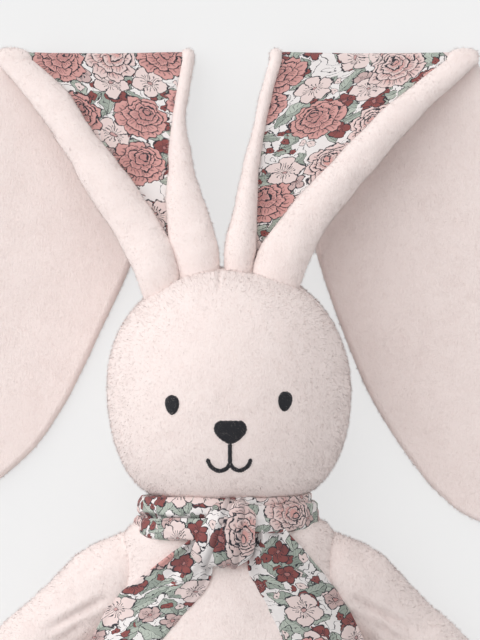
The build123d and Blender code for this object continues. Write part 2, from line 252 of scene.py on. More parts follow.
def closed_form(name, grid, cloth, tone=None):
    """A stuffed form: rings of points that close round, with a fan of triangles over each end."""
    rows, cols = grid.shape[:2]
    places = np.concatenate([grid.reshape(-1, 3), grid[:1].mean(1), grid[-1:].mean(1)])
    faces = lattice_faces(rows, cols, True)
    ring = np.arange(cols)
    after = np.roll(ring, -1)
    first = np.stack([ring, after, np.full(cols, rows * cols)], axis=-1)
    last = np.stack([after, ring, np.full(cols, rows * cols + 1)], axis=-1) + [[(rows - 1) * cols] * 2 + [0]]
    corners = places[np.concatenate([faces[:, :3], faces[:, [0, 2, 3]]])]
    volume = np.einsum("ij,ij->", corners[:, 0], np.cross(corners[:, 1], corners[:, 2]))
    turned = slice(None, None, -1) if volume < 0 else slice(None)
    faces = faces[:, turned].tolist() + first[:, turned].tolist() + last[:, turned].tolist()
    # painted shade of the seams and folds, none at the two end points
    depth = np.zeros(len(places))
    if tone is not None:
        depth[:-2] = tone.ravel()
    return make_piece(name, places, faces, cloth, tone=depth)


def cloth_layer(name, grid, thickness, cloth, print_at=None, tone=None, outward=1):
    """A cloth: the grid, a copy under it at the cloth's thickness, and a rim between them."""
    rows, cols = grid.shape[:2]
    inner = push(grid, np.full((rows, cols), -outward * thickness))
    faces = lattice_faces(rows, cols, False)
    count = rows * cols
    rim = rim_faces(rows, cols, count)
    # lattice_faces runs down and then across, so its faces look against facing()
    if outward > 0:
        faces = faces[:, ::-1]
        rim = rim[:, ::-1]
    faces = faces.tolist() + (faces[:, ::-1] + count).tolist() + rim.tolist()
    places = np.concatenate([grid.reshape(-1, 3), inner.reshape(-1, 3)])
    flat = None if print_at is None else np.tile(print_at.reshape(-1, 2), (2, 1))
    # the same painted shade on both faces of the cloth
    deep = None if tone is None else np.tile(tone.ravel(), 2)
    border = np.ones((rows, cols), bool)
    border[1:-1, 1:-1] = False
    return make_piece(name, places, faces, cloth, flat, deep, np.tile(border.ravel(), 2))


PILE_PER_SQUARE = 1.6       # fibres in a square millimetre
PILE_LENGTH, PILE_WIDTH = 1.3, 0.15
PILE_SEED = 1
PILE_LOWEST = 0.1           # above the floor
NAP = np.array([0.25, -1.0, 0.0])   # the way that the pile is brushed


def cell_areas(grid):
    """Area of each cell of a grid: the length of the cross product of its two directions."""
    down, across = np.diff(grid, axis=0)[:, :-1], np.diff(grid, axis=1)[:-1]
    return np.linalg.norm(np.cross(down, across), axis=-1)


def make_pile(name, grid, around=False, outward=1, bare=None):
    """Short fibres that stand on a velour and lean with its nap: a narrow triangle each, at places drawn
    by area and shaded nearly like the cloth under them. None crosses the heights between bare's two."""
    normals = facing(grid, around) * outward
    if around:
        grid, normals = (np.concatenate([part, part[:, :1]], axis=1) for part in (grid, normals))
    runs = np.cumsum(cell_areas(grid))
    dice = np.random.default_rng(PILE_SEED)
    count = int(runs[-1] * PILE_PER_SQUARE)
    row, col = np.divmod(np.searchsorted(runs, dice.uniform(0, runs[-1], count)), grid.shape[1] - 1)
    u, v = dice.uniform(size=(2, count, 1))
    foot, normal = (
        (values[row, col] * (1 - v) + values[row, col + 1] * v) * (1 - u)
        + (values[row + 1, col] * (1 - v) + values[row + 1, col + 1] * v) * u for values in (grid, normals))
    nap = NAP - normal * (normal @ NAP)[:, None]
    way = normal * 0.85 + nap * 0.5 + dice.normal(scale=0.24, size=(count, 3))
    way /= np.linalg.norm(way, axis=1, keepdims=True)
    side = np.cross(way, dice.normal(size=(count, 3)))
    side *= PILE_WIDTH / 2 / np.linalg.norm(side, axis=1, keepdims=True)
    tip = foot + way * PILE_LENGTH * dice.uniform(0.55, 1.25, (count, 1))
    # each fibre is wound so that it shows its face outwards
    side = np.where((np.cross(side, way) * normal).sum(1, keepdims=True) < 0, side, -side)
    places = np.stack([foot + side, foot - side, tip], axis=1).reshape(-1, 3)
    places[:, 2] = np.maximum(places[:, 2], PILE_LOWEST)
    if bare is not None:
        heights = places[:, 2].reshape(-1, 3)
        clear = (heights.min(1) > max(bare)) | (heights.max(1) < min(bare))
        places, normal, count = places.reshape(-1, 3, 3)[clear].reshape(-1, 3), normal[clear], clear.sum()
    pile = make_piece(name, places, np.arange(3 * count).reshape(-1, 3).tolist(), "velour_pile")
    shaded = normal + dice.normal(scale=0.09, size=(count, 3))
    shaded /= np.linalg.norm(shaded, axis=1, keepdims=True)
    pile.data.normals_split_custom_set_from_vertices(np.repeat(shaded, 3, axis=0).tolist())
    pile.visible_shadow = False    # fibres this fine let the light through
    return pile


# ---------------------------------------------------------------- node arithmetic


def arithmetic(kind):
    """A method that puts a math node of that kind on a wire."""
    return lambda wire, *others: wire.math(kind, *others)


class Wire:
    """A node socket that can be added, multiplied and compared, so that a pattern reads as a formula."""

    def __init__(self, tree, socket):
        self.tree, self.socket = tree, socket

    def math(self, operation, *others):
        node = self.tree.nodes.new("ShaderNodeMath")
        node.operation = operation
        for slot_in, value in zip(node.inputs, (self, *others)):
            if isinstance(value, Wire):
                self.tree.links.new(value.socket, slot_in)
            else:
                slot_in.default_value = value
        return Wire(self.tree, node.outputs[0])

    def vector(self, operation, other):
        node = self.tree.nodes.new("ShaderNodeVectorMath")
        node.operation = operation
        self.tree.links.new(self.socket, node.inputs[0])
        if isinstance(other, Wire):
            self.tree.links.new(other.socket, node.inputs[1])
        elif isinstance(other, tuple):
            node.inputs[1].default_value = other
        else:
            node.inputs["Scale"].default_value = other
        return Wire(self.tree, node.outputs[0])

    __add__ = arithmetic("ADD")
    __sub__ = arithmetic("SUBTRACT")
    __mul__ = arithmetic("MULTIPLY")
    __truediv__ = arithmetic("DIVIDE")
    __lt__ = arithmetic("LESS_THAN")
    __gt__ = arithmetic("GREATER_THAN")
    abs = arithmetic("ABSOLUTE")
    sin = arithmetic("SINE")
    cos = arithmetic("COSINE")
    power = arithmetic("POWER")
    either = arithmetic("MAXIMUM")

    def flipped(self):
        """1 - x."""
        return self * -1.0 + 1.0

    def parts(self):
        node = self.tree.nodes.new("ShaderNodeSeparateXYZ")
        self.tree.links.new(self.socket, node.inputs[0])
        return [Wire(self.tree, output) for output in node.outputs]

    def soft_step(self, low, high):
        node = self.tree.nodes.new("ShaderNodeMapRange")
        node.interpolation_type = "SMOOTHSTEP"
        self.tree.links.new(self.socket, node.inputs["Value"])
        node.inputs["From Min"].default_value = low
        node.inputs["From Max"].default_value = high
        return Wire(self.tree, node.outputs["Result"])

    def noise(self, scale, detail=2.0, roughness=0.5):
        node = self.tree.nodes.new("ShaderNodeTexNoise")
        node.inputs["Scale"].default_value = scale
        node.inputs["Detail"].default_value = detail
        node.inputs["Roughness"].default_value = roughness
        self.tree.links.new(self.socket, node.inputs["Vector"])
        return Wire(self.tree, node.outputs["Fac"])

    def warped(self, scale, reach):
        """The place moved by up to about reach in waves 1 / scale long."""
        node = self.tree.nodes.new("ShaderNodeTexNoise")
        node.inputs["Scale"].default_value = scale
        node.inputs["Detail"].default_value = 0.0
        self.tree.links.new(self.socket, node.inputs["Vector"])
        sway = Wire(self.tree, node.outputs["Color"]).vector("SUBTRACT", (0.5, 0.5, 0.5))
        return self.vector("ADD", sway.vector("SCALE", reach * 2))

    def cells(self, shift=(0.0, 0.0, 0.0), randomness=0.75):
        """Nearest scattered point: its offset from here, three random numbers of it, and the way to the
        border with its neighbour."""
        moved = self.vector("ADD", shift)
        node = self.tree.nodes.new("ShaderNodeTexVoronoi")
        node.voronoi_dimensions, node.feature = "2D", "F1"
        edge = self.tree.nodes.new("ShaderNodeTexVoronoi")
        edge.voronoi_dimensions, edge.feature = "2D", "DISTANCE_TO_EDGE"
        for texture in (node, edge):
            texture.inputs["Scale"].default_value = 1.0
            texture.inputs["Randomness"].default_value = randomness
            self.tree.links.new(moved.socket, texture.inputs["Vector"])
        offset = moved.vector("SUBTRACT", Wire(self.tree, node.outputs["Position"]))
        chance = Wire(self.tree, node.outputs["Color"]).parts()
        return offset, chance, Wire(self.tree, edge.outputs["Distance"])


class Finish:
    """A material that is being put together: its tree, its shader and its colour so far."""

    def __init__(self, name, roughness):
        self.material = bpy.data.materials.new(name)
        self.material.use_nodes = True
        self.tree = self.material.node_tree
        self.shader = self.tree.nodes["Principled BSDF"]
        self.shader.inputs["Roughness"].default_value = roughness
        self.shader.inputs["Specular IOR Level"].default_value = 0.25

    def place(self):
        node = self.tree.nodes.new("ShaderNodeTexCoord")
        return Wire(self.tree, node.outputs["Object"])

    def flat_place(self):
        node = self.tree.nodes.new("ShaderNodeUVMap")
        node.uv_map = "cloth"
        return Wire(self.tree, node.outputs[0])

    def attribute(self, name):
        node = self.tree.nodes.new("ShaderNodeAttribute")
        node.attribute_name = name
        return Wire(self.tree, node.outputs["Fac"])

    def mix(self, below, above, share):
        """below where share is 0, above where it is 1. Each is a colour or a Wire."""
        node = self.tree.nodes.new("ShaderNodeMix")
        node.data_type = "RGBA"
        node.clamp_factor = True
        for value, socket in ((below, node.inputs[6]), (above, node.inputs[7])):
            if isinstance(value, Wire):
                self.tree.links.new(value.socket, socket)
            else:
                socket.default_value = (*value, 1.0)
        self.tree.links.new(share.socket, node.inputs[0])
        return Wire(self.tree, node.outputs[2])

    def paint(self, shade):
        self.tree.links.new(shade.socket, self.shader.inputs["Base Color"])

    def relief(self, *layers):
        """Bumps, each a height from 0 to 1, its depth in metres and its strength."""
        normal = None
        for height, depth, strength in layers:
            node = self.tree.nodes.new("ShaderNodeBump")
            node.inputs["Distance"].default_value = depth
            node.inputs["Strength"].default_value = strength
            self.tree.links.new(height.socket, node.inputs["Height"])
            if normal is not None:
                self.tree.links.new(normal, node.inputs["Normal"])
            normal = node.outputs[0]
        self.tree.links.new(normal, self.shader.inputs["Normal"])

    def sheen(self, weight, roughness, tint):
        self.shader.inputs["Sheen Weight"].default_value = weight
        self.shader.inputs["Sheen Roughness"].default_value = roughness
        self.shader.inputs["Sheen Tint"].default_value = (*tint, 1.0)


# ---------------------------------------------------------------- finishes

INK_LINE = 0.00030          # how far an inked outline reaches from the edge that it follows, in metres
BARE_CELLS = 0.34           # share of the cells that a layer of leaves or flowers leaves empty
FULL_TURN = 6.283           # 2 pi
WEAVE_TURN = 12566.0        # 2 pi in each 0.5 mm, the step of the weave
THREAD_TURN = 15700.0       # about 2 pi in each 0.4 mm, the step of the threads
STITCH_WAY = (0.92, 0.38)   # across the threads of the satin stitch
# rings of a rose from the outside in: share of its size, number of petals, turn
PETAL_RINGS = ((1.0, 8, 0.0), (0.74, 6, 0.9), (0.50, 5, 0.3), (0.29, 4, 1.3), (0.13, 3, 0.5))


def velour_finish(colours):
    """Short cut pile: brushed patches of 10 mm, tufts of 1 mm, and fine streaks that run with the nap."""
    velour = Finish("velour_pile", roughness=0.92)
    place = velour.place()
    patches = place.noise(95.0, 3.0, 0.55)
    tufts = place.noise(900.0, 3.0, 0.65)
    nap = place.vector("MULTIPLY", (1.0, 0.28, 1.0)).noise(1400.0, 2.0, 0.6)
    depth = patches * 0.35 + tufts * 0.40 + nap * 0.25
    shade = velour.mix(tuple(colours.velour_deep_and_painted_shade), tuple(colours.velour_light), depth.soft_step(0.22, 0.60))
    # painted shade: the deep velour colour laid over seams and creases, up to 65 percent
    seam = velour.attribute("tone")
    velour.paint(velour.mix(shade, tuple(colours.velour_deep_and_painted_shade), seam * 0.65))
    velour.relief((patches, 0.0012, 0.35), (tufts, 0.0005, 0.55), (nap, 0.00035, 0.6))
    velour.sheen(0.35, 0.55, (1.0, 0.97, 0.96))
    return velour.material


def print_finish(name, colours):
    """Printed cotton. Flowers, leaves and berries are drawn round scattered points of the flat cloth,
    from the lowest layer up, each with an outline of uneven ink."""
    cotton = Finish(name, roughness=0.85)
    cloth = cotton.flat_place()
    flat = cloth.warped(230.0, 0.0016).warped(900.0, 0.0005)
    flow = cloth.noise(800.0, 1.0).soft_step(0.30, 0.46)
    pen = Pen(cotton, flow, colours)
    shade = cotton.mix(tuple(colours.ground), tuple(colours.ink), ink_stems(flat) * flow)
    for size, shift in ((0.0135, (7.3, 2.1, 0.0)), (0.0110, (1.7, 9.4, 0.0)), (0.0160, (4.1, 5.8, 0.0))):
        shade = draw_leaves(pen, shade, flat, size, shift)
    shade = draw_berries(pen, shade, flat, 0.0064, (3.3, 8.2, 0.0))
    shade = draw_blossoms(pen, shade, flat, 0.0150, 0.0048, (2.6, 6.1, 0.0), colours.brick)
    shade = draw_blossoms(pen, shade, flat, 0.0230, 0.0083, (6.4, 1.3, 0.0), colours.blush)
    shade = draw_roses(pen, shade, flat, 0.0275, (5.5, 3.7, 0.0))
    # painted shade: the ink colour laid over folds, creases and edges tucked under the rolls, up to 45
    # percent
    fold = cotton.attribute("tone")
    cotton.paint(cotton.mix(shade, tuple(colours.ink), fold * 0.45))
    across, along, _ = cloth.parts()
    weave = (across * WEAVE_TURN).sin() * (along * WEAVE_TURN).sin() * 0.5 + 0.5
    cotton.relief((cloth.noise(260.0, 2.0), 0.0006, 0.35), (weave, 0.00008, 0.5))
    cotton.sheen(0.12, 0.5, (1.0, 1.0, 1.0))
    return cotton.material


class Pen:
    """Draws one layer of a print over another: a fill, and ink that breaks where its flow is low."""

    def __init__(self, cotton, flow, colours):
        self.cotton, self.flow, self.colours = cotton, flow, colours

    def fill(self, below, above, share):
        pick = lambda shade: tuple(getattr(self.colours, shade)) if isinstance(shade, str) else shade
        return self.cotton.mix(pick(below), pick(above), share)

    def inked(self, shade, marks):
        return self.fill(shade, "ink", marks * (self.flow * 0.5 + 0.5))


def ink_stems(flat):
    """Thin curling stems: where a slow noise passes through the middle of its range."""
    slow = flat.noise(95.0, 1.0)
    return ((slow - 0.5).abs() < 0.006).either((slow - 0.60).abs() < 0.005)


def polar(offset, size, turn):
    """Distance from the middle, in metres, and the angle round it from a random start."""
    along, across, _ = offset.vector("SCALE", size).parts()
    radius = (along * along + across * across).math("SQRT")
    return radius, across.math("ARCTAN2", along) + turn * FULL_TURN


def draw_leaves(pen, shade, flat, size, shift):
    """Leaves: |b| < width (1 - (a / length)^2) about a random axis, with a midrib and slanting veins."""
    offset, chance, _ = flat.vector("SCALE", 1 / size).cells(shift, 0.6)
    radius, angle = polar(offset, size, chance[0])
    along, across = radius * angle.cos(), (radius * angle.sin()).abs()
    edge = (along / (size * 0.52)).power(2.0).flipped() * (size * 0.22)
    midrib = across < 0.00013
    veins = ((along + across * 1.1) / 0.0019).math("FRACT") < 0.13
    green = pen.fill("sage", "sage_deep", ((radius * angle.sin()) > 0.0) * 0.45 + chance[2] * 0.45)
    marks = ((edge - across) < INK_LINE).either(midrib).either(veins * (across > edge * 0.25) * 0.7)
    return pen.fill(shade, pen.inked(green, marks), (across < edge) * (chance[1] > BARE_CELLS))


def draw_berries(pen, shade, flat, size, shift):
    """Berries: small lobed discs in loose groups, with an inked rim and a dark eye."""
    offset, chance, _ = flat.vector("SCALE", 1 / size).cells(shift, 0.5)
    radius, angle = polar(offset, size, chance[0])
    rim = (angle * 2.5).cos().abs() * 0.0004 + 0.0017
    marks = (radius > rim - INK_LINE).either(radius < 0.00035)
    berry = pen.fill("brick", "blush", chance[2] > 0.72)
    groups = flat.noise(55.0, 0.0) > 0.50
    return pen.fill(shade, pen.inked(berry, marks), (radius < rim) * groups * (chance[1] > 0.3))


def draw_blossoms(pen, shade, flat, size, reach, shift, petal):
    """Five-petalled blossoms: radius below reach (0.70 + 0.30 |cos(5/2 angle)|^0.6), with a heart and
    strokes that run out from it."""
    offset, chance, edge_gap = flat.vector("SCALE", 1 / size).cells(shift, 0.55)
    radius, angle = polar(offset, size, chance[0])
    lobe = (angle * 2.5).cos().abs()
    rim = (lobe.power(0.6) * 0.30 + 0.70) * reach
    marks = ((rim - radius).abs() < INK_LINE).either((radius - 0.0010).abs() < 0.00018)
    marks = marks.either((lobe < 0.10) * (radius > reach * 0.3))
    marks = marks.either(((angle * 17.0).sin() > 0.72) * (radius > 0.0013) * (radius < reach * 0.52))
    fill = pen.fill(tuple(petal), "blush", (chance[2] > 0.70) * 0.6)
    fill = pen.fill(fill, "rose_deep", (radius < 0.0010) * 0.7)
    inside = (radius < rim + INK_LINE) * (chance[1] > BARE_CELLS) * (edge_gap > 0.01)
    return pen.fill(shade, pen.inked(fill, marks), inside)


def draw_roses(pen, shade, flat, size, shift):
    """Full roses: rings of lobed petals, each ring smaller and turned on the one below, with the colour
    deepening to the foot of each petal and short inked strokes there."""
    offset, chance, edge_gap = flat.vector("SCALE", 1 / size).cells(shift, 0.50)
    bloom, cover = None, None
    pale = pen.fill("rose", "blush", (chance[2] > 0.62) * 0.85)
    deep = pen.fill("rose_deep", "rose", (chance[2] > 0.62) * 0.75 + 0.25)
    for order, (share, petals, turn) in enumerate(PETAL_RINGS):
        radius, angle = polar(offset.vector("ADD", (0.034 * order, -0.026 * order, 0.0)), size, chance[0])
        lobe = ((angle + turn) * (petals / 2)).cos().abs()
        ruffle = (angle * (petals * 2.5)).cos() * 0.025
        rim = (lobe.power(0.50) * 0.19 + ruffle + 0.81) * (0.0122 * share)
        petal = pen.fill(deep, pale, (radius / rim).soft_step(0.42, 0.95))
        strokes = ((angle * 31.0).sin() > 0.62) * (radius < rim * 0.84) * (radius > rim * 0.60)
        gaps = (lobe < 0.09) * (radius > rim * 0.62)
        petal = pen.inked(petal, ((rim - radius).abs() < INK_LINE).either(gaps).either(strokes * 0.6))
        inside = radius < rim + INK_LINE
        bloom = petal if bloom is None else pen.fill(bloom, petal, inside)
        cover = inside if cover is None else cover
    bloom = pen.inked(bloom, edge_gap < 0.010)
    return pen.fill(shade, bloom, cover * (chance[1] > BARE_CELLS))


def stitch_finish(colours):
    """Satin stitch: parallel rayon threads 0.4 mm apart with a soft gloss."""
    satin = Finish("satin_stitch", roughness=0.42)
    place = satin.place()
    across, along, _ = place.parts()
    lay = (across * STITCH_WAY[0] + along * STITCH_WAY[1]) * THREAD_TURN + place.noise(500.0, 1.0) * 2.5
    threads = lay.sin() * 0.5 + 0.5
    # painted shade and painted highlight: each thread darker in its groove and lighter on its crest
    painted_groove_shade, light = (tuple(part * share for part in colours.thread) for share in (0.55, 1.9))
    satin.paint(satin.mix(painted_groove_shade, light, threads))
    satin.relief((threads, 0.00018, 0.8), (place.noise(2600.0, 2.0), 0.00006, 0.5))
    satin.sheen(0.2, 0.4, (0.7, 0.72, 0.78))
    return satin.material


def finish(name):
    """The finished material of that name, made at its first use."""
    if name not in bpy.data.materials:
        colours = bpy.context.scene.bunny_colours
        makers = {
            "velour_pile": lambda: velour_finish(colours),
            "ear_print": lambda: print_finish("ear_print", colours),
            "scarf_print": lambda: print_finish("scarf_print", colours),
            "satin_stitch": lambda: stitch_finish(colours),
        }
        makers[name]()
    return bpy.data.materials[name]


# ---------------------------------------------------------------- head

HEAD_LOW, HEAD_HIGH = (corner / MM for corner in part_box("head_front_panel"))
CHEEK_Y = 134.0         # where the head is widest
HEAD_Z = 44.0
FACE_RISE = HEAD_HIGH.z - HEAD_Z
CROWN_RISE = HEAD_HIGH.y - CHEEK_Y
CHIN_DROP = 53.0
CHIN_FULLNESS = 0.52    # below 1 keeps the cheeks full down to the chin
CROWN_FULLNESS = 0.88   # the same up to the crown
HEAD_LEAN = -0.5        # x of the middle of the head at the crown
HEAD_SEAM_Z = 47.0      # at the cheek
HEAD_SEAM_RISE = 0.157  # the seam comes forward towards the crown
DART_X = -4.9
DART_LOW_Y = 179.5
SEAM_DEPTH = 0.9
SEAM_WIDTH = 1.1


def head_share(y):
    """Width of the head at y as a share of its widest: a half ellipse, to the power of CROWN_FULLNESS up
    to the crown and of CHIN_FULLNESS down to the chin."""
    rise = np.clip(np.where(y > CHEEK_Y, (y - CHEEK_Y) / CROWN_RISE, (CHEEK_Y - y) / CHIN_DROP), 0, 1)
    curve = np.sqrt(1 - rise**2)
    return np.where(y > CHEEK_Y, curve**CROWN_FULLNESS, curve**CHIN_FULLNESS)


def head_lean(y):
    """x of the middle of the head at y: 0 at the cheeks, and HEAD_LEAN at the crown."""
    return HEAD_LEAN * np.abs(y - CHEEK_Y) / CROWN_RISE


def plump(places):
    """Unevenness of the stuffing under the cloth, in millimetres."""
    return 0.40 * ripple(places, 38, 3) + 0.14 * ripple(places, 13, 4)


def face_height(x, y, half_width):
    """Height of the face over a place of the plan, on the ellipse across the head at y."""
    share = np.maximum(head_share(y), 0.05)
    reach = (x - head_lean(y)) / (half_width * share)
    z = HEAD_Z + FACE_RISE * share * np.sqrt(np.clip(1 - reach**2, 0, 1))
    return z + plump(spread(x, y, z))


def head_grid(half_width, rows=290, cols=310):
    """Ellipses across the head, from the chin to the crown, evenly far apart along its outline."""
    turn = np.linspace(-0.499 * np.pi, 0.499 * np.pi, DENSE)
    reach = np.where(turn > 0, CROWN_RISE, CHIN_DROP)
    y = CHEEK_Y + reach * np.sin(turn)
    y, share = even(np.stack([y, half_width * head_share(y)], axis=1), rows).T
    share = share / half_width
    angle = circle(cols)
    return spread(head_lean(y)[:, None] + half_width * share[:, None] * np.cos(angle), y[:, None],
                  HEAD_Z + FACE_RISE * share[:, None] * np.sin(angle))


class BUNNY_OT_head(bpy.types.Operator):
    """Make the velour skin of the head, with its side seam, its back seam and the dart at the crown"""
    bl_idname = "bunny.head"
    bl_label = "Head"

    def execute(self, context):
        grid = head_grid(context.scene.bunny_sizes.head_width / MM / 2)
        x, y, z = np.moveaxis(grid, -1, 0)
        off_seam = z - (HEAD_SEAM_Z + HEAD_SEAM_RISE * (y - CHEEK_Y))
        seam = ridge(off_seam, SEAM_WIDTH)
        back = ridge(x, SEAM_WIDTH) * smooth(0, 3, -off_seam)
        dart = ridge(x - DART_X, 0.9) * smooth(DART_LOW_Y - 2, DART_LOW_Y + 2, y) * smooth(0, 3, off_seam)
        lines = np.maximum(np.maximum(seam, back), dart * 0.8)
        puckers = ridge(off_seam, 6.0) * 0.25 * ripple(grid * [1, 1, 0.2], 5, 11)
        grid = rest_on_floor(push(grid, plump(grid) - SEAM_DEPTH * lines + puckers, True))
        # lines also darken the skin as painted shade along the seams and the dart
        skin = closed_form("head_skin", grid, "velour_pile", lines)
        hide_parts("head_front_panel", "head_back_panel_left", "head_back_panel_right",
                    "head_stuffing")
        for piece in (skin, make_pile("head_pile", grid, True)):
            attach(piece, "head")
        return {"FINISHED"}


# ---------------------------------------------------------------- embroidered face

EYES = {"left": (-25.6, 127.9, 2), "right": (25.0, 129.5, -6)}   # middle and lean in degrees
EYE_HALF_WIDTH, EYE_HALF_HEIGHT = 3.35, 4.7
NOSE_X, NOSE_TOP_Y, NOSE_HALF_WIDTH, NOSE_HEIGHT = 0.5, 120.9, 7.7, 11.2
NOSE_WIDEST = 0.36
MOUTH = ((-9.9, 103.6), (-8.2, 100.0), (-4.7, 98.0), (-1.4, 99.0), (0.3, 100.9), (1.9, 99.2), (4.8, 98.2),
         (8.2, 100.1), (9.8, 103.6))
LIP_TOP_Y = 110.6
STITCH_STEP = 0.45
THREAD_SINK = 0.5       # the edge of the stitching lies in the pile


def stitched_patch(name, outline, sizes, node):
    """Satin stitch that fills an outline: rings from its middle to its edge, raised by (1 - r^5)^0.5,
    and then a flat back a little under the pile. Its edge is ragged by the ends of the threads."""
    half_width, rise = sizes.head_width / MM / 2, sizes.thread_rise / MM
    middle = outline.mean(0)
    rows_of_thread = np.sin(outline[:, 1:] * 2 * np.pi / (2 * STITCH_STEP))
    ragged = 0.03 * rows_of_thread * np.sin(outline.sum(1, keepdims=True) * 2.7)
    outline = middle + (outline - middle) * (1 + ragged)
    radius = np.linspace(0.02, 1, 26)[:, None, None]
    front = middle + radius * (outline - middle)
    height = rise * np.sqrt(np.clip(1 - radius[..., 0] ** 5, 0, 1)) - THREAD_SINK * radius[..., 0] ** 8
    across = front[..., 0] * STITCH_WAY[0] + front[..., 1] * STITCH_WAY[1]
    ribs = 0.05 * np.sin(across * 2 * np.pi / STITCH_STEP)
    border = 0.16 * ridge(radius[..., 0] - 0.88, 0.05)
    plan = np.concatenate([front, front[::-1]])
    front_lift = height + ribs + border
    lift = np.concatenate([front_lift, np.full(front_lift.shape, -THREAD_SINK - 0.3)])
    z = face_height(plan[..., 0], plan[..., 1], half_width) + lift
    patch = closed_form(name, np.concatenate([plan, z[..., None]], -1), "satin_stitch")
    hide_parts(node)
    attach(patch, "head")


def stitched_line(name, path, sizes):
    """Satin stitch along a line: a low half-round profile carried along it, ribbed at each stitch."""
    half_width, rise = sizes.head_width / MM / 2, sizes.thread_rise / MM
    way = np.gradient(path, axis=0)
    way /= np.linalg.norm(way, axis=1, keepdims=True)
    side = np.stack([-way[:, 1], way[:, 0]], axis=1)
    run = along_line(path)
    taper = np.sqrt(np.clip(np.minimum(run, run[-1] - run) / 0.9, 0.04, 1))
    angle = circle(20)
    reach = (sizes.thread_width / MM / 2) * taper * (
        1 + 0.07 * np.sin(run * 2 * np.pi / (2 * STITCH_STEP)) + 0.05 * np.sin(run * 1.9))
    plan = path[:, None] + side[:, None] * (reach[:, None] * np.cos(angle))[..., None]
    lift = rise * np.maximum(np.sin(angle), -0.5)[None] * taper[:, None] ** 0.5
    lift = lift + 0.05 * np.sin(run * 2 * np.pi / STITCH_STEP)[:, None] * np.maximum(np.sin(angle), 0)
    z = face_height(plan[..., 0], plan[..., 1], half_width) + lift
    return closed_form(name, np.concatenate([plan, z[..., None]], -1), "satin_stitch")


def nose_outline(count=160):
    """A rounded kite with a blunt top: widest at the depth NOSE_WIDEST, above it an ellipse's quarter
    down from 0.58 of that width, and below it (1 - t^1.8)^0.8 to the point."""
    depth = np.linspace(0, 1, count)
    above = 0.58 + 0.42 * np.sqrt(1 - np.clip(1 - depth / NOSE_WIDEST, 0, 1) ** 2)
    below = (1 - np.clip((depth - NOSE_WIDEST) / (1 - NOSE_WIDEST), 0, 1) ** 1.8) ** 0.8
    half = NOSE_HALF_WIDTH * above * below
    right = np.stack([NOSE_X + half, NOSE_TOP_Y - NOSE_HEIGHT * depth], axis=1)
    left = np.stack([NOSE_X - half, NOSE_TOP_Y - NOSE_HEIGHT * depth], axis=1)
    return even(np.concatenate([right, left[::-1], right[:1]]), count)[:-1]


class BUNNY_OT_face(bpy.types.Operator):
    """Make the satin-stitched eyes, nose and mouth"""
    bl_idname = "bunny.face"
    bl_label = "Face"

    def execute(self, context):
        sizes = context.scene.bunny_sizes
        angle = circle(120)
        for side, (x, y, lean) in EYES.items():
            across = EYE_HALF_WIDTH * np.cos(angle) * (1 + 0.11 * np.sin(angle))    # fuller above
            along = EYE_HALF_HEIGHT * np.sin(angle) * (1 - 0.06 * np.sin(angle))
            c, s = np.cos(np.radians(lean)), np.sin(np.radians(lean))
            outline = np.stack([x + across * c - along * s, y + across * s + along * c], axis=1)
            stitched_patch(f"eye_stitches_{side}", outline, sizes, f"eye_{side}")
        stitched_patch("nose_stitches", nose_outline(), sizes, "nose")
        mouth = stitched_line("mouth_stitches", even(through(MOUTH, 400), 520), sizes)
        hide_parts("mouth")
        lip = stitched_line("lip_stitches", np.stack([
            np.full(120, MOUTH[4][0]), np.linspace(LIP_TOP_Y, MOUTH[4][1] - 0.3, 120)], axis=1), sizes)
        for piece in (mouth, lip):
            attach(piece, "head")
        return {"FINISHED"}


# ---------------------------------------------------------------- body, neck and tail

BODY_OUTLINE = (    # y, half width, half depth, height of the middle
    (-63.0, 0.5, 0.5, 25.0), (-62.2, 11.0, 8.0, 25.5), (-58.0, 26.0, 16.5, 26.5), (-50.0, 43.0, 25.5, 29.0),
    (-36.0, 58.0, 33.0, 31.5), (-12.0, 66.6, 36.6, 34.5), (16.0, 62.0, 36.5, 35.5), (44.0, 52.0, 34.0, 37.5),
    (60.0, 49.5, 31.0, 40.5), (68.8, 47.5, 28.5, 42.5), (74.2, 41.0, 25.0, 43.5), (77.3, 26.0, 17.0, 44.0),
    (78.0, 0.5, 0.5, 44.0),
)
BODY_SEAM_Z = 36.0
NECK_SLEEVE = ((68, 27, 23, 44), (78, 26, 22, 44), (90, 27, 24, 44))    # as BODY_OUTLINE


def body_rows(count):
    """Stations of the body, evenly far apart along its outline."""
    return even(through(BODY_OUTLINE, DENSE), count)


def chest_height(x, y):
    """Height of the front of the body over a place of the plan."""
    rows = body_rows(400)
    half_width, half_depth, middle = (np.interp(y, rows[:, 0], rows[:, i]) for i in (1, 2, 3))
    return middle + half_depth * np.sqrt(np.clip(1 - (x / half_width) ** 2, 0, 1))


def rings(rows, cols):
    """An ellipse at each station (y, half width, half depth, height), across the body."""
    angle = circle(cols)
    y, half_width, half_depth, middle = (column[:, None] for column in rows.T)
    return spread(half_width * np.cos(angle), y, middle + half_depth * np.sin(angle))


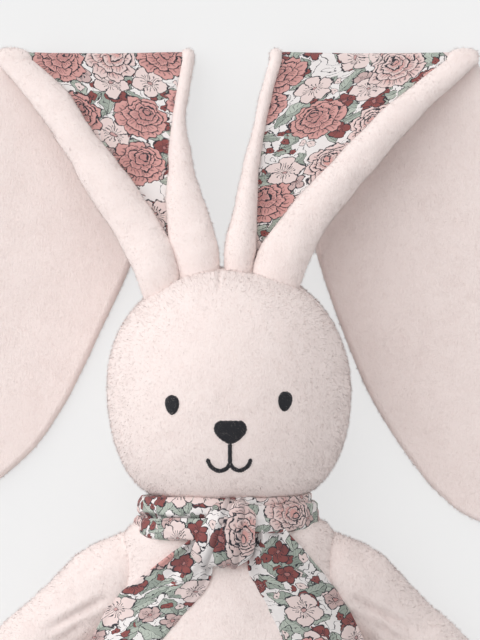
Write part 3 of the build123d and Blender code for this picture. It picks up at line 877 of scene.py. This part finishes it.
class BUNNY_OT_body(bpy.types.Operator):
    """Make the velour skins of the body, the neck and the tail"""
    bl_idname = "bunny.body"
    bl_label = "Body, neck and tail"

    def execute(self, context):
        grid = rings(body_rows(280), 320)
        grid[..., 0] *= context.scene.bunny_sizes.body_width / MM / 2 / grid[..., 0].max()
        x, y, z = np.moveaxis(grid, -1, 0)
        seam = ridge(z - BODY_SEAM_Z, SEAM_WIDTH)
        back = ridge(x, SEAM_WIDTH) * smooth(0, 3, BODY_SEAM_Z - z)
        lines = np.maximum(seam, back)
        puckers = ridge(z - BODY_SEAM_Z, 6.0) * 0.3 * ripple(grid * [1, 1, 0.2], 5, 12)
        lumps = 0.8 * ripple(grid, 46, 7) + 0.22 * ripple(grid, 15, 8)
        grid = rest_on_floor(push(grid, lumps - SEAM_DEPTH * lines + puckers, True))
        # lines also darken the skin as painted shade along the side and back seams
        body = closed_form("body_skin", grid, "velour_pile", lines)
        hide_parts("torso_front_panel", "torso_back_panel_left", "torso_back_panel_right",
                    "torso_stuffing")
        for piece in (body, make_pile("body_pile", grid, True)):
            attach(piece, "torso")

        neck = closed_form("neck_skin", rings(through(NECK_SLEEVE, 40), 160), "velour_pile")
        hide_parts("neck_stuffing")
        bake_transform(neck)

        low, high = (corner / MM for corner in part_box("tail_cover"))
        radius = (high.x - low.x) / 2
        middle = np.array([0, low.y + radius, radius])
        turn = np.linspace(-0.495 * np.pi, 0.495 * np.pi, 130)[:, None]
        angle = circle(200)
        ball = middle + radius * spread(np.cos(turn) * np.cos(angle), np.sin(turn),
                                        np.cos(turn) * np.sin(angle))
        ball = rest_on_floor(push(ball, 0.5 * ripple(ball, 9, 21) + 0.3 * ripple(ball, 4, 22), True))
        tail = closed_form("tail_skin", ball, "velour_pile")
        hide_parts("tail_cover", "tail_stuffing")
        for piece in (tail, make_pile("tail_pile", ball, True)):
            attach(piece, "torso")
        return {"FINISHED"}


# ---------------------------------------------------------------- arms and legs

# root: x and y of the right limb's joint. drop: degrees from straight out sideways towards the feet.
# lift: how much further the left and the right one bend to their upper side.
# bend_from, bend_to: a run along the limb about its root; the two ends worked out from it are not used.
# stations: run along the limb, bend to its upper side, half width, half depth, height of the middle.
# creases: start and end in plan on the left limb, depth, width.
ARM = {
    "root": (60.0, 44.0), "drop": 42.0, "lift": (0.5, -0.7), "seam_z": 14.0,
    "bend_from": -8.0, "bend_to": 22.0,
    "stations": ((-28, -1, 10, 9, 40), (-13, -3.2, 17.6, 15, 38), (0, -3, 19.0, 17, 34),
                 (14, -2.6, 18.4, 17, 27), (31, -2.4, 17.0, 16.4, 20.5), (48, -1.8, 16.6, 16.2, 17.5),
                 (65, -2.4, 15.8, 14.8, 15.5),
                 (75, -3.0, 12.4, 11.4, 14.4), (79.6, -3.7, 6.0, 6.0, 13.8), (80.8, -4, 0.5, 0.5, 13.8)),
    "creases": (((-58, 37.5), (-86, 21.0), 1.7, 2.0), ((-63, 30), (-82, 15), 0.9, 2.4),
                ((-58, 58), (-70, 47), 0.5, 3.0)),
}
LEG = {
    "root": (30.0, -57.9), "drop": 80.0, "lift": (0.0, 0.0), "seam_z": 16.5,
    "bend_from": -6.0, "bend_to": 22.0,
    "stations": ((-20, 0, 9, 8, 33), (-8, 0, 16, 13, 30), (4, 0, 19, 15.5, 26), (16, 0, 20, 16.5, 21.5),
                 (42, 0, 21.8, 17.3, 17), (70, 0, 21.2, 17.6, 17), (88, 0, 20, 18, 17),
                 (97, 0, 14.5, 13.5, 16.7), (102, 0, 6.5, 6.5, 16.5), (103.5, 0, 0.5, 0.5, 16.5)),
    "creases": (((-20, -74), (-42, -70), 1.1, 2.4), ((-24, -84), (-40, -82), 0.7, 2.4)),
}
LIMB_ROWS, LIMB_COLS = 190, 220


def limb_grid(limb, rows, cols, lift):
    """Ellipses square to the way that the limb heads in plan, of the stations' sizes, which stand higher
    by lift from the root on. The left limb."""
    dense = through(limb["stations"], DENSE)
    run, bend, half_width, half_depth, middle = (column[:, None] for column in even(dense, rows).T)
    drop = np.radians(limb["drop"])
    way = np.array([-np.cos(drop), -np.sin(drop)])
    upper = np.array([-np.sin(drop), np.cos(drop)])
    root = np.array([-limb["root"][0], limb["root"][1]])
    angle = circle(cols)
    bend = bend + lift * smooth(0, 40, run)
    plan = root + run[..., None] * way + (bend + half_width * np.cos(angle))[..., None] * upper
    z = middle + half_depth * np.sin(angle)
    return np.concatenate([plan, z[..., None]], axis=-1), run


def make_limb(name, limb, mirrored):
    """The skin and the pile of one arm or leg, which starts at its root on the body."""
    grid, run = limb_grid(limb, LIMB_ROWS, LIMB_COLS, limb["lift"][mirrored])
    z = grid[..., 2]
    seam = ridge(z - limb["seam_z"], SEAM_WIDTH) * smooth(0, 12, run)
    height = 0.55 * ripple(grid, 24, 31) + 0.2 * ripple(grid, 9, 32) - SEAM_DEPTH * seam
    folds = np.zeros(z.shape)
    for start, end, depth, width in limb["creases"]:
        distance, share = line_distance(grid, start, end)
        deep, above = np.sin(np.pi * (0.12 + 0.88 * share)), smooth(-2, 6, z - limb["seam_z"])
        fold = ridge(distance, width) * deep * above
        beside = depth * 0.5 * ridge(distance - width * 2, width * 1.2) * deep * above
        height = height - depth * fold + beside
        # folds is painted shade in the creases, which the skin takes with its seam
        folds = np.maximum(folds, fold * 0.6)
    grid = rest_on_floor(push(grid, height, True))
    if mirrored:
        grid = grid * [-1, 1, 1]
    side = "right" if mirrored else "left"
    skin = closed_form(f"{name}_skin_{side}", grid, "velour_pile", np.maximum(seam, folds))
    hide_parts(*(f"{name}_{side}_{part}" for part in ("front_panel", "back_panel", "stuffing")))
    drop = np.radians(limb["drop"])
    way = np.array([-np.cos(drop), -np.sin(drop), 0])
    root = np.array([-limb["root"][0], limb["root"][1], limb["stations"][2][4]])
    start, end = (root + way * limb[key] for key in ("bend_from", "bend_to"))
    for piece in (skin, make_pile(f"{name}_pile_{side}", grid, True)):
        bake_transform(piece)


class BUNNY_OT_limbs(bpy.types.Operator):
    """Make the velour skins of the arms and legs, with their piles"""
    bl_idname = "bunny.limbs"
    bl_label = "Arms and legs"

    def execute(self, context):
        for name, limb in (("arm", ARM), ("leg", LEG)):
            for mirrored in (False, True):
                make_limb(name, limb, mirrored)
        return {"FINISHED"}


# ---------------------------------------------------------------- ears

# share of the way from the head to the fold; inner edge x, y; outer edge x, y; height; width of the inner
# and outer velour rolls; height of the two rolls
EARS = {
    "left": {
        "rows": ((-0.14, -6.0, 178.0, -36.0, 167.0, 46.0, 15.0, 14.0, 9.0, 10.0),
                 (0.0, -5.4, 192.0, -40.3, 182.0, 48.0, 18.4, 17.6, 10.5, 11.5),
                 (0.22, -9.9, 213.8, -48.4, 198.2, 41.0, 18.4, 19.2, 10.5, 12.0),
                 (0.46, -18.2, 237.3, -65.5, 225.8, 32.0, 9.6, 18.7, 8.0, 11.5),
                 (0.67, -21.2, 257.9, -83.2, 254.1, 23.0, 5.0, 16.7, 5.5, 10.0),
                 (0.84, -19.3, 274.3, -97.6, 273.9, 15.5, 4.6, 18.0, 4.6, 7.0),
                 (1.0, -17.0, 291.0, -112.0, 291.0, 9.6, 3.8, 14.0, 3.4, 3.6)),
        "fold": (-61.35, 291.0), "splay": -22.0, "print_shift": 0.0,
    },
    "right": {
        "rows": ((-0.14, -1.0, 178.0, 29.0, 168.0, 46.0, 11.0, 18.0, 9.0, 11.0),
                 (0.0, -1.6, 192.0, 31.6, 182.0, 48.0, 12.3, 21.4, 10.0, 12.5),
                 (0.22, 2.4, 215.2, 43.8, 207.8, 41.0, 9.2, 19.5, 8.5, 12.0),
                 (0.46, 7.3, 237.3, 60.8, 228.5, 32.0, 5.4, 18.4, 6.5, 12.0),
                 (0.67, 12.0, 256.5, 84.3, 256.0, 23.0, 4.0, 17.6, 5.0, 10.0),
                 (0.84, 16.0, 274.3, 102.2, 273.8, 15.5, 3.9, 16.0, 4.4, 7.0),
                 (1.0, 21.1, 291.0, 120.5, 291.0, 9.6, 3.6, 13.0, 3.4, 3.6)),
        "fold": (71.0, 291.0), "splay": 14.0, "print_shift": 0.31,
    },
}
# along the flap: run from the fold, then half width to the inner and to the outer edge
EAR_LEAVES = {
    "left": ((-22, 43.5, 43.5), (40, 48.6, 50), (90, 49.8, 51.5), (130, 47.8, 49), (165, 44.7, 44.5),
             (190, 37.4, 36), (208, 26.3, 25), (222, 12.7, 12), (229, 0.6, 0.6)),
    "right": ((-22, 43.5, 43.5), (40, 49.8, 50), (90, 50.9, 51.5), (130, 47.2, 49), (165, 40.2, 44.5),
              (190, 31.1, 36), (208, 22.2, 25), (222, 10.9, 12), (229, 0.6, 0.6)),
}
EAR_LENGTH = 229.0                  # from the fold to the tip
FOLD_Z, FOLD_RADIUS = 6.2, 3.8      # of the middle of the cloths
FOLD_BREAK = (7.0, 6.5)             # heights between which the loop of the fold passes from base to flap
SHELL_DROP = 2.0                    # from the middle of the cloths down to the velour back
LINING_RISE = 0.9
CLOTH_THICKNESS = 0.9
FLAP_RIM = 4.4
FOLD_SHARE = 0.962                  # of the way to the fold line, where the loop of the fold starts
BASE_ROWS, FOLD_ROWS, FLAP_ROWS = 96, 12, 150
ROLL_COLS, BACK_COLS, LINING_COLS = 46, 72, 120
SPLIT_ROW = 66                      # where the ear's lower piece meets its upper one


def leaf_edges(ear, leaf, side, share):
    """Inner and outer edge of the flap. Both start on the line of the fold and run to the tip."""
    splay = np.radians(ear["splay"])
    way = np.array([np.sin(splay), -np.cos(splay)])
    inward = -side * np.array([np.cos(splay), np.sin(splay)])
    edges = []
    for edge, sign in enumerate((1, -1)):
        first = 0.0
        for _ in range(8):    # the run at which this edge crosses the fold line, by repeated substitution
            first = sign * inward[1] / -way[1] * float(track(leaf, first)[edge])
        run = first + (EAR_LENGTH - first) * share
        half = track(leaf, run)[:, edge]
        edges.append(np.array(ear["fold"]) + run[:, None] * way + sign * half[:, None] * inward)
    return edges


def ear_frame(ear, leaf, side):
    """For each row of an ear: its inner edge, its outer edge, the widths and heights of its rolls."""
    base = track(ear["rows"], np.linspace(-0.14, FOLD_SHARE, BASE_ROWS))
    inner, outer = (np.column_stack([base[:, i:i + 2], base[:, 4]]) for i in (0, 2))
    rolls = base[:, 5:9]
    turn = np.linspace(0, np.pi, FOLD_ROWS + 2)[1:-1, None]
    arc = np.hstack([0 * turn, FOLD_RADIUS * np.sin(turn), FOLD_RADIUS * (np.cos(turn) - 1)])
    share = np.linspace(0, 1, FLAP_ROWS) ** 0.94
    flaps = leaf_edges(ear, leaf, side, share)
    settle = (1 - smooth(0, 0.25, share))[:, None]
    edges = []
    for edge, flap in zip((inner, outer), flaps):
        flap = flap + (edge[-1, :2] - flap[0]) * settle
        low = FOLD_Z - FOLD_RADIUS + (edge[-1, 2] - FOLD_Z - FOLD_RADIUS) * settle
        edges.append(np.concatenate([edge, edge[-1] + arc, np.hstack([flap, low])]))
    fold_share = np.linspace(0, 1, FOLD_ROWS)[:, None]
    rim = np.full((1, 4), FLAP_RIM)
    early = smooth(0, 0.2, share)[:, None]
    start = rolls[-1] + (np.array([FLAP_RIM, 9.0, 3.6, 3.6]) - rolls[-1]) * fold_share
    rolls = np.concatenate([rolls, start, start[-1] + (rim - start[-1]) * early])
    width = np.linalg.norm(edges[1] - edges[0], axis=1)
    fit = np.minimum(1, width / (rolls[:, 0] + rolls[:, 1] + 0.5))
    return edges[0], edges[1], rolls * np.column_stack([fit, fit, np.ones(len(fit)), np.ones(len(fit))])


def arc_profile(first, last, count):
    """Cosine and sine of count angles from first to last, in degrees."""
    angle = np.radians(np.linspace(first, last, count))
    return np.cos(angle), np.sin(angle)


def ear_grids(ear, leaf, side):
    """The velour and the lining of an ear, each as a grid, with their places on the flat cloth.
    Across a row the velour goes round the inner roll, along the back and round the outer roll; the
    lining lies between the rolls and runs a little way under each."""
    inner, outer, rolls = ear_frame(ear, leaf, side)
    width = np.linalg.norm(outer - inner, axis=1)[:, None]
    across = (outer - inner) / width
    middle = (inner + outer) / 2
    along = np.gradient(middle, axis=0)
    along /= np.linalg.norm(along, axis=1, keepdims=True)
    front = np.cross(across, along)
    front *= np.where(front[:1, 2] > 0, 1, -1)[:, None]
    front /= np.linalg.norm(front, axis=1, keepdims=True)
    inner_roll, outer_roll, inner_high, outer_high = (column[:, None] for column in rolls.T)

    c, s = arc_profile(-38, 270, ROLL_COLS)
    first = (inner_roll / 2 * (1 + c), inner_high / 2 * (1 + s) - SHELL_DROP)
    share = np.linspace(0, 1, BACK_COLS)[1:-1]
    reach = inner_roll / 2 + (width - inner_roll / 2 - outer_roll / 2) * share
    second = (reach, np.full(reach.shape, -SHELL_DROP))
    c, s = arc_profile(-90, 218, ROLL_COLS)
    third = (width - outer_roll / 2 + outer_roll / 2 * c, outer_high / 2 * (1 + s) - SHELL_DROP)
    run = along_line(middle)

    def stand(reach, height):
        return inner[:, None] + across[:, None] * reach[..., None] + front[:, None] * height[..., None]

    reach, height = (np.concatenate(parts, axis=1) for parts in zip(first, second, third))
    velour = stand(reach, height)
    share = np.linspace(0, 1, LINING_COLS)
    reach = inner_roll * 0.8 + (width - 0.8 * (inner_roll + outer_roll)) * share
    sag = np.sin(np.pi * share) * np.minimum(1.2, 0.02 * width)
    lining = stand(reach, np.full(reach.shape, LINING_RISE) - sag * 0.5)
    flat = spread((reach - width / 2) * MM + ear["print_shift"], run[:, None] * MM)
    return velour, lining, flat, run


def make_ear(side_name, side, ear, leaf):
    """Both cloths of one ear, each in a lower piece at the head and an upper one that runs over the fold
    to the tip."""
    velour, lining, flat, run = ear_grids(ear, leaf, side)
    on_base = (1 - smooth(BASE_ROWS - 20, BASE_ROWS - 4, np.arange(len(run))))[:, None]
    lumps = (0.55 * ripple(velour, 26, 41) + 0.22 * ripple(velour, 10, 42)) * on_base
    lumps += 0.22 * ripple(velour * [1, 1, 0], 30, 43) * (1 - on_base)
    outward = 1 if side > 0 else -1
    velour = push(velour, -(lumps + CLOTH_THICKNESS) * outward)
    creases = (0.35 * ripple(lining, 22, 44) + 0.15 * ripple(lining, 8, 45)) * (0.3 + 0.7 * on_base)
    lining = push(lining, creases * outward)
    edge = np.linspace(0, 1, lining.shape[1])
    # painted shade along both edges of the lining, where it runs under the velour rolls
    tone = np.maximum(ridge(edge, 0.03), ridge(edge - 1, 0.03)) * np.ones((len(run), 1))
    base, flap = f"ear_{side_name}_base", f"ear_{side_name}_flap"
    pieces = (
        ("velour", velour, "velour_pile", "velour", "shell", None, None),
        ("lining", lining, "ear_print", "ear_lining", "lining", flat, tone),
    )
    # deep is the painted shade of the lining's edges, and None for the velour
    for cloth, grid, look, slot, node, at, deep in pieces:
        for part, rows in (("lower", slice(0, SPLIT_ROW + 1)), ("upper", slice(SPLIT_ROW, None))):
            pick = lambda values: None if values is None else values[rows]
            turned = -outward if cloth == "velour" else outward
            piece = cloth_layer(f"ear_{side_name}_{part}_{cloth}", grid[rows], CLOTH_THICKNESS, look,
                                pick(at), pick(deep), turned)
            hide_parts(f"{base if part == 'lower' else flap}_{node}")
            made = [piece]
            if cloth == "velour":
                made.append(make_pile(f"ear_{side_name}_{part}_pile", grid[rows], outward=turned,
                                      bare=FOLD_BREAK if part == "upper" else None))
            for piece in made:
                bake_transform(piece)


class BUNNY_OT_ears(bpy.types.Operator):
    """Make both ears: velour backs that roll over the edges of printed linings"""
    bl_idname = "bunny.ears"
    bl_label = "Ears"

    def execute(self, context):
        for side_name, side in SIDES.items():
            make_ear(side_name, side, EARS[side_name], EAR_LEAVES[side_name])
        return {"FINISHED"}


# ---------------------------------------------------------------- scarf

BAND_GRID, KNOT_GRID, TAIL_GRID = (60, 420), (150, 110), (190, 90)     # rows, columns
BAND_GIRTH_ROW = 20         # the row along which the print's places are measured
BAND_VALLEY = 24            # the point of the profile where the shade between the pleats is deepest
BAND_MIDDLE = (-1.6, 76.0, 43.0)
BAND_HALF_WIDTH, BAND_HALF_DEPTH = 38.2, 32.0
# place along the band, how far out it stands: two pleats with a valley between them
BAND_PROFILE = ((10.0, -3.0), (9.6, 0.6), (7.0, 2.3), (2.6, 2.6), (0.6, 0.9), (0.0, 0.6), (0.4, 2.6),
                (-1.0, 3.8), (-5.5, 4.4), (-8.6, 3.6), (-9.8, 1.0), (-9.2, -2.4))
# the right part lies flatter, with a thin layer behind its upper edge
BAND_PLAIN = ((9.6, -3.0), (9.2, 0.8), (7.0, 1.5), (5.6, 1.2), (5.5, 1.6), (6.2, 2.8), (5.0, 4.0), (1.0, 4.5),
              (-3.4, 4.6), (-6.0, 3.9), (-7.0, 1.2), (-6.6, -2.4))
KNOT_ROWS = (    # turn in degrees round the knot, left edge x, right edge x
    (-70, -7.0, 9.5), (0, -8.4, 11.0), (60, -11.0, 11.2), (110, -14.5, 10.6), (160, -16.6, 9.4),
    (215, -15.0, 8.0),
)
KNOT_MIDDLE, KNOT_HALF_HEIGHT, KNOT_HALF_DEPTH = (0.0, 69.5, 74.5), 14.0, 9.0
# share of the way, outer edge x, y, inner edge x, y, lift above the chest
SCARF_TAILS = {
    "left": ((0.0, -12.5, 72.0, -10.0, 66.0, 6.0), (0.08, -17.4, 67.0, -7.8, 58.5, 5.0),
             (0.25, -33.0, 54.8, -9.6, 46.0, 3.4), (0.42, -52.9, 37.7, -20.4, 32.7, 2.8),
             (0.58, -62.5, 21.5, -30.5, 20.5, 2.6), (0.8, -74.5, 5.0, -45.0, -4.5, 2.6),
             (1.0, -84.0, -7.0, -57.5, -27.0, 2.6)),
    "right": ((0.0, 13.0, 79.5, 9.0, 77.0, 6.0), (0.08, 20.0, 77.5, 9.2, 69.5, 5.6),
              (0.2, 26.5, 69.5, 8.2, 57.5, 4.6), (0.36, 36.5, 58.2, 10.0, 47.5, 3.2),
              (0.55, 49.0, 42.0, 18.0, 34.0, 2.8), (0.75, 61.0, 20.5, 28.5, 11.0, 2.6),
              (1.0, 72.0, -9.5, 43.5, -29.0, 2.6)),
}
ARM_TOP = 45.5
# where each is cut from the printed cloth, in metres, and how far the loose ends lie from TAIL_CUT
BAND_CUT, KNOT_CUT, TAIL_CUT, TAIL_CUT_APART = 0.7, 1.3, 1.9, 0.21


def make_scarf_band(sizes):
    """The band: a profile with two pleats carried round an ellipse, narrower on the right."""
    pleated, plain = (even(np.array(profile), BAND_GRID[0])[:, None]
                      for profile in (BAND_PROFILE, BAND_PLAIN))
    angle = np.linspace(-0.5 * np.pi, 1.5 * np.pi, BAND_GRID[1])
    profile = pleated + (plain - pleated) * smooth(-0.25, 0.25, np.cos(angle))[:, None]
    reach, out = np.moveaxis(profile, -1, 0)
    drop = 0.6 * np.cos(angle)
    x = BAND_MIDDLE[0] + (BAND_HALF_WIDTH + out) * np.cos(angle)
    z = BAND_MIDDLE[2] + (BAND_HALF_DEPTH + out) * np.sin(angle)
    grid = spread(x, BAND_MIDDLE[1] + reach + drop, z)
    girth = along_line(grid[BAND_GIRTH_ROW])
    across = along_line(pleated[:, 0])
    flat = spread(girth[None] * MM + BAND_CUT, across[:, None] * MM)
    grid = push(grid, 0.5 * ripple(grid, 14, 51) + 0.25 * ripple(grid * [1, 3, 1], 9, 52))
    # painted shade in the valley between the pleats, on the left part of the band
    tone = ridge(across[:, None] - across[BAND_VALLEY], 1.1) * smooth(0.2, -0.2, np.cos(angle))
    band = cloth_layer("scarf_band_cloth", grid, sizes.scarf_cloth / MM, "scarf_print",
                       flat, tone)
    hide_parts("scarf_band")
    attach(band, "torso")


def make_scarf_knot(sizes):
    """The knot: a strip that wraps over the crossing from top to bottom, with pressed creases."""
    turns = np.linspace(KNOT_ROWS[0][0], KNOT_ROWS[-1][0], KNOT_GRID[0])
    rows = track(KNOT_ROWS, turns)
    turn = np.radians(turns)[:, None]
    share = np.linspace(0, 1, KNOT_GRID[1])
    x = rows[:, :1] + (rows[:, 1:] - rows[:, :1]) * share
    pull = 1 - 0.34 * np.abs(2 * share - 1) ** 5
    y = KNOT_MIDDLE[1] + KNOT_HALF_HEIGHT * np.cos(turn) * pull
    z = KNOT_MIDDLE[2] + KNOT_HALF_DEPTH * np.sin(turn) * pull
    grid = spread(x, y, z)
    crease = (ridge(share - 0.30 - 0.10 * np.cos(turn), 0.035) + ridge(share - 0.72, 0.03) * 0.8
              + ridge(share - 0.52 + 0.12 * np.sin(turn), 0.025) * 0.5)
    puff = 0.9 * np.sin(share * 3 * np.pi) * np.sin(turn).clip(0)
    grid = push(grid, puff - 1.3 * crease + 0.35 * ripple(grid, 8, 54))
    flat = spread(x * MM + KNOT_CUT, turn * 11.5 * MM)
    # crease, at 0.8, is also painted shade in the pressed creases of the knot
    knot = cloth_layer("scarf_knot_cloth", grid, sizes.scarf_cloth / MM, "scarf_print",
                       flat, crease * 0.8)
    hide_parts("scarf_knot")
    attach(knot, "torso")


def make_scarf_tail(side_name, side, sizes):
    """A loose end: rows from its outer to its inner edge that follow the chest, gathered into folds at
    the knot and flat at the end."""
    way, share = (np.linspace(0, 1, count) for count in TAIL_GRID)
    rows = track(SCARF_TAILS[side_name], way)
    outer, inner = rows[:, None, 0:2], rows[:, None, 2:4]
    plan = outer + (inner - outer) * share[:, None]
    x, y = plan[..., 0], plan[..., 1]
    z = np.maximum(chest_height(x, y), ARM_TOP) + rows[:, 4:5]
    level = z.mean(1, keepdims=True)
    z = level + (z - level) * 0.9
    gather = 1 - smooth(0.0, 0.55, way[:, None])
    wave = np.cos(2 * np.pi * (share * 1.6 + 0.1))
    folds = gather * (2.1 * wave + 0.6 * np.cos(2 * np.pi * share * 3.7))
    hems = 0.35 * (ridge(share - 0.035, 0.03) + ridge(share - 0.965, 0.03))
    droop = -1.6 * np.abs(2 * share - 1) ** 6
    grid = spread(x, y, z + folds + droop)
    grid = push(grid, side * (hems + 0.45 * ripple(grid, 24, 56) + 0.2 * ripple(grid, 9, 57)))
    width = np.linalg.norm(rows[:, 2:4] - rows[:, 0:2], axis=1)[:, None]
    run = along_line(plan.mean(1))[:, None]
    flat = spread((share - 0.5) * width * MM + TAIL_CUT + side * TAIL_CUT_APART, run * MM)
    # painted shade in the valleys of the gathered folds, fading out away from the knot
    tone = gather * ridge(wave + 1, 0.35) * 0.8
    tail = cloth_layer(f"scarf_tail_cloth_{side_name}", grid, sizes.scarf_cloth / MM, "scarf_print",
                       flat, tone, side)
    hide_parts(f"scarf_tail_{side_name}")
    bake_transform(tail)


class BUNNY_OT_scarf(bpy.types.Operator):
    """Make the printed scarf: its band, its knot and its two loose ends"""
    bl_idname = "bunny.scarf"
    bl_label = "Scarf"

    def execute(self, context):
        sizes = context.scene.bunny_sizes
        make_scarf_band(sizes)
        make_scarf_knot(sizes)
        for side_name, side in SIDES.items():
            make_scarf_tail(side_name, side, sizes)
        return {"FINISHED"}


# ---------------------------------------------------------------- stage

CAMERA_PLACE = (0.0048, 0.1656, 1.6)
CAMERA_LENS = 190.5
CAMERA_REACH = 10.0     # the farthest that it sees, in metres
FLOOR_SIZE = 14.0
ROOM_LIGHT = 0.58
WINDOW_LIGHT = 1.60
WINDOW_WAY = (0.62, -0.44, -0.65)   # the way that the light travels
WINDOW_SPREAD = 85.0    # degrees
BACKDROP = 0.92         # of the paper that the camera sees
BACKDROP_SHARE = 0.70   # the rest of what it sees is lit, and keeps the shadows


def paper_finish():
    """Pale paper. The camera sees it mostly as an even backdrop, and partly as it is lit."""
    paper = Finish("floor_paper", roughness=1.0)
    paper.shader.inputs["Base Color"].default_value = (0.872, 0.872, 0.872, 1)
    paper.shader.inputs["Specular IOR Level"].default_value = 0.0
    nodes, links = paper.tree.nodes, paper.tree.links
    glow, seen, blend = (nodes.new(f"ShaderNode{kind}") for kind in ("Emission", "LightPath", "MixShader"))
    glow.inputs["Color"].default_value = (BACKDROP, BACKDROP, BACKDROP, 1)
    share = Wire(paper.tree, seen.outputs["Is Camera Ray"]) * BACKDROP_SHARE
    links.new(share.socket, blend.inputs[0])
    links.new(paper.shader.outputs[0], blend.inputs[1])
    links.new(glow.outputs[0], blend.inputs[2])
    links.new(blend.outputs[0], nodes["Material Output"].inputs["Surface"])
    return paper.material


class BUNNY_OT_stage(bpy.types.Operator):
    """Make the pale floor, the soft light from the upper left and the camera straight above"""
    bl_idname = "bunny.stage"
    bl_label = "Stage"

    def execute(self, context):
        scene = context.scene
        scene.view_settings.view_transform = "Standard"
        half = FLOOR_SIZE / 2
        mesh = bpy.data.meshes.new("floor")
        mesh.from_pydata([(-half, -half, 0), (half, -half, 0), (half, half, 0), (-half, half, 0)], [],
                         [(0, 1, 2, 3)])
        floor = bpy.data.objects.new("floor", mesh)
        scene.collection.objects.link(floor)
        mesh.materials.append(paper_finish())

        world = bpy.data.worlds.new("soft_room")
        world.use_nodes = True
        room = world.node_tree.nodes["Background"].inputs
        room["Color"].default_value = (1.0, 1.0, 1.0, 1)
        room["Strength"].default_value = ROOM_LIGHT
        scene.world = world
        lamp = bpy.data.lights.new("window", "SUN")
        lamp.energy, lamp.angle = WINDOW_LIGHT, np.radians(WINDOW_SPREAD)
        light = bpy.data.objects.new("window", lamp)
        light.rotation_euler = Vector(WINDOW_WAY).to_track_quat("-Z", "Y").to_euler()
        scene.collection.objects.link(light)

        camera = bpy.data.objects.new("camera", bpy.data.cameras.new("camera"))
        camera.data.lens = CAMERA_LENS
        camera.data.clip_end = CAMERA_REACH
        camera.location = CAMERA_PLACE
        scene.collection.objects.link(camera)
        scene.camera = camera
        return {"FINISHED"}


# ---------------------------------------------------------------- panel and registration

PIECES = (BUNNY_OT_head, BUNNY_OT_face, BUNNY_OT_body, BUNNY_OT_limbs, BUNNY_OT_ears, BUNNY_OT_scarf,
          BUNNY_OT_stage)


class BUNNY_PT_panel(bpy.types.Panel):
    """Lists the sizes, the colours and the pieces of the bunny"""
    bl_idname = "BUNNY_PT_panel"
    bl_label = "Bunny"
    bl_space_type = "VIEW_3D"
    bl_region_type = "UI"
    bl_category = "Bunny"

    def draw(self, context):
        for group in (context.scene.bunny_sizes, context.scene.bunny_colours):
            box = self.layout.box()
            for name in group.__annotations__:
                box.prop(group, name)
        for piece in PIECES:
            self.layout.operator(piece.bl_idname)


CLASSES = (BunnySizes, BunnyColours, *PIECES, BUNNY_PT_panel)


def register():
    for item in CLASSES:
        bpy.utils.register_class(item)
    bpy.types.Scene.bunny_sizes = PointerProperty(type=BunnySizes)
    bpy.types.Scene.bunny_colours = PointerProperty(type=BunnyColours)


def unregister():
    del bpy.types.Scene.bunny_colours
    del bpy.types.Scene.bunny_sizes
    for item in reversed(CLASSES):
        bpy.utils.unregister_class(item)


def main():
    register()
    for piece in PIECES:
        group, operation = piece.bl_idname.split(".")
        if getattr(getattr(bpy.ops, group), operation)() != {"FINISHED"}:
            raise RuntimeError(f"{piece.bl_label} was not made")


if __name__ == "__main__":
    main()
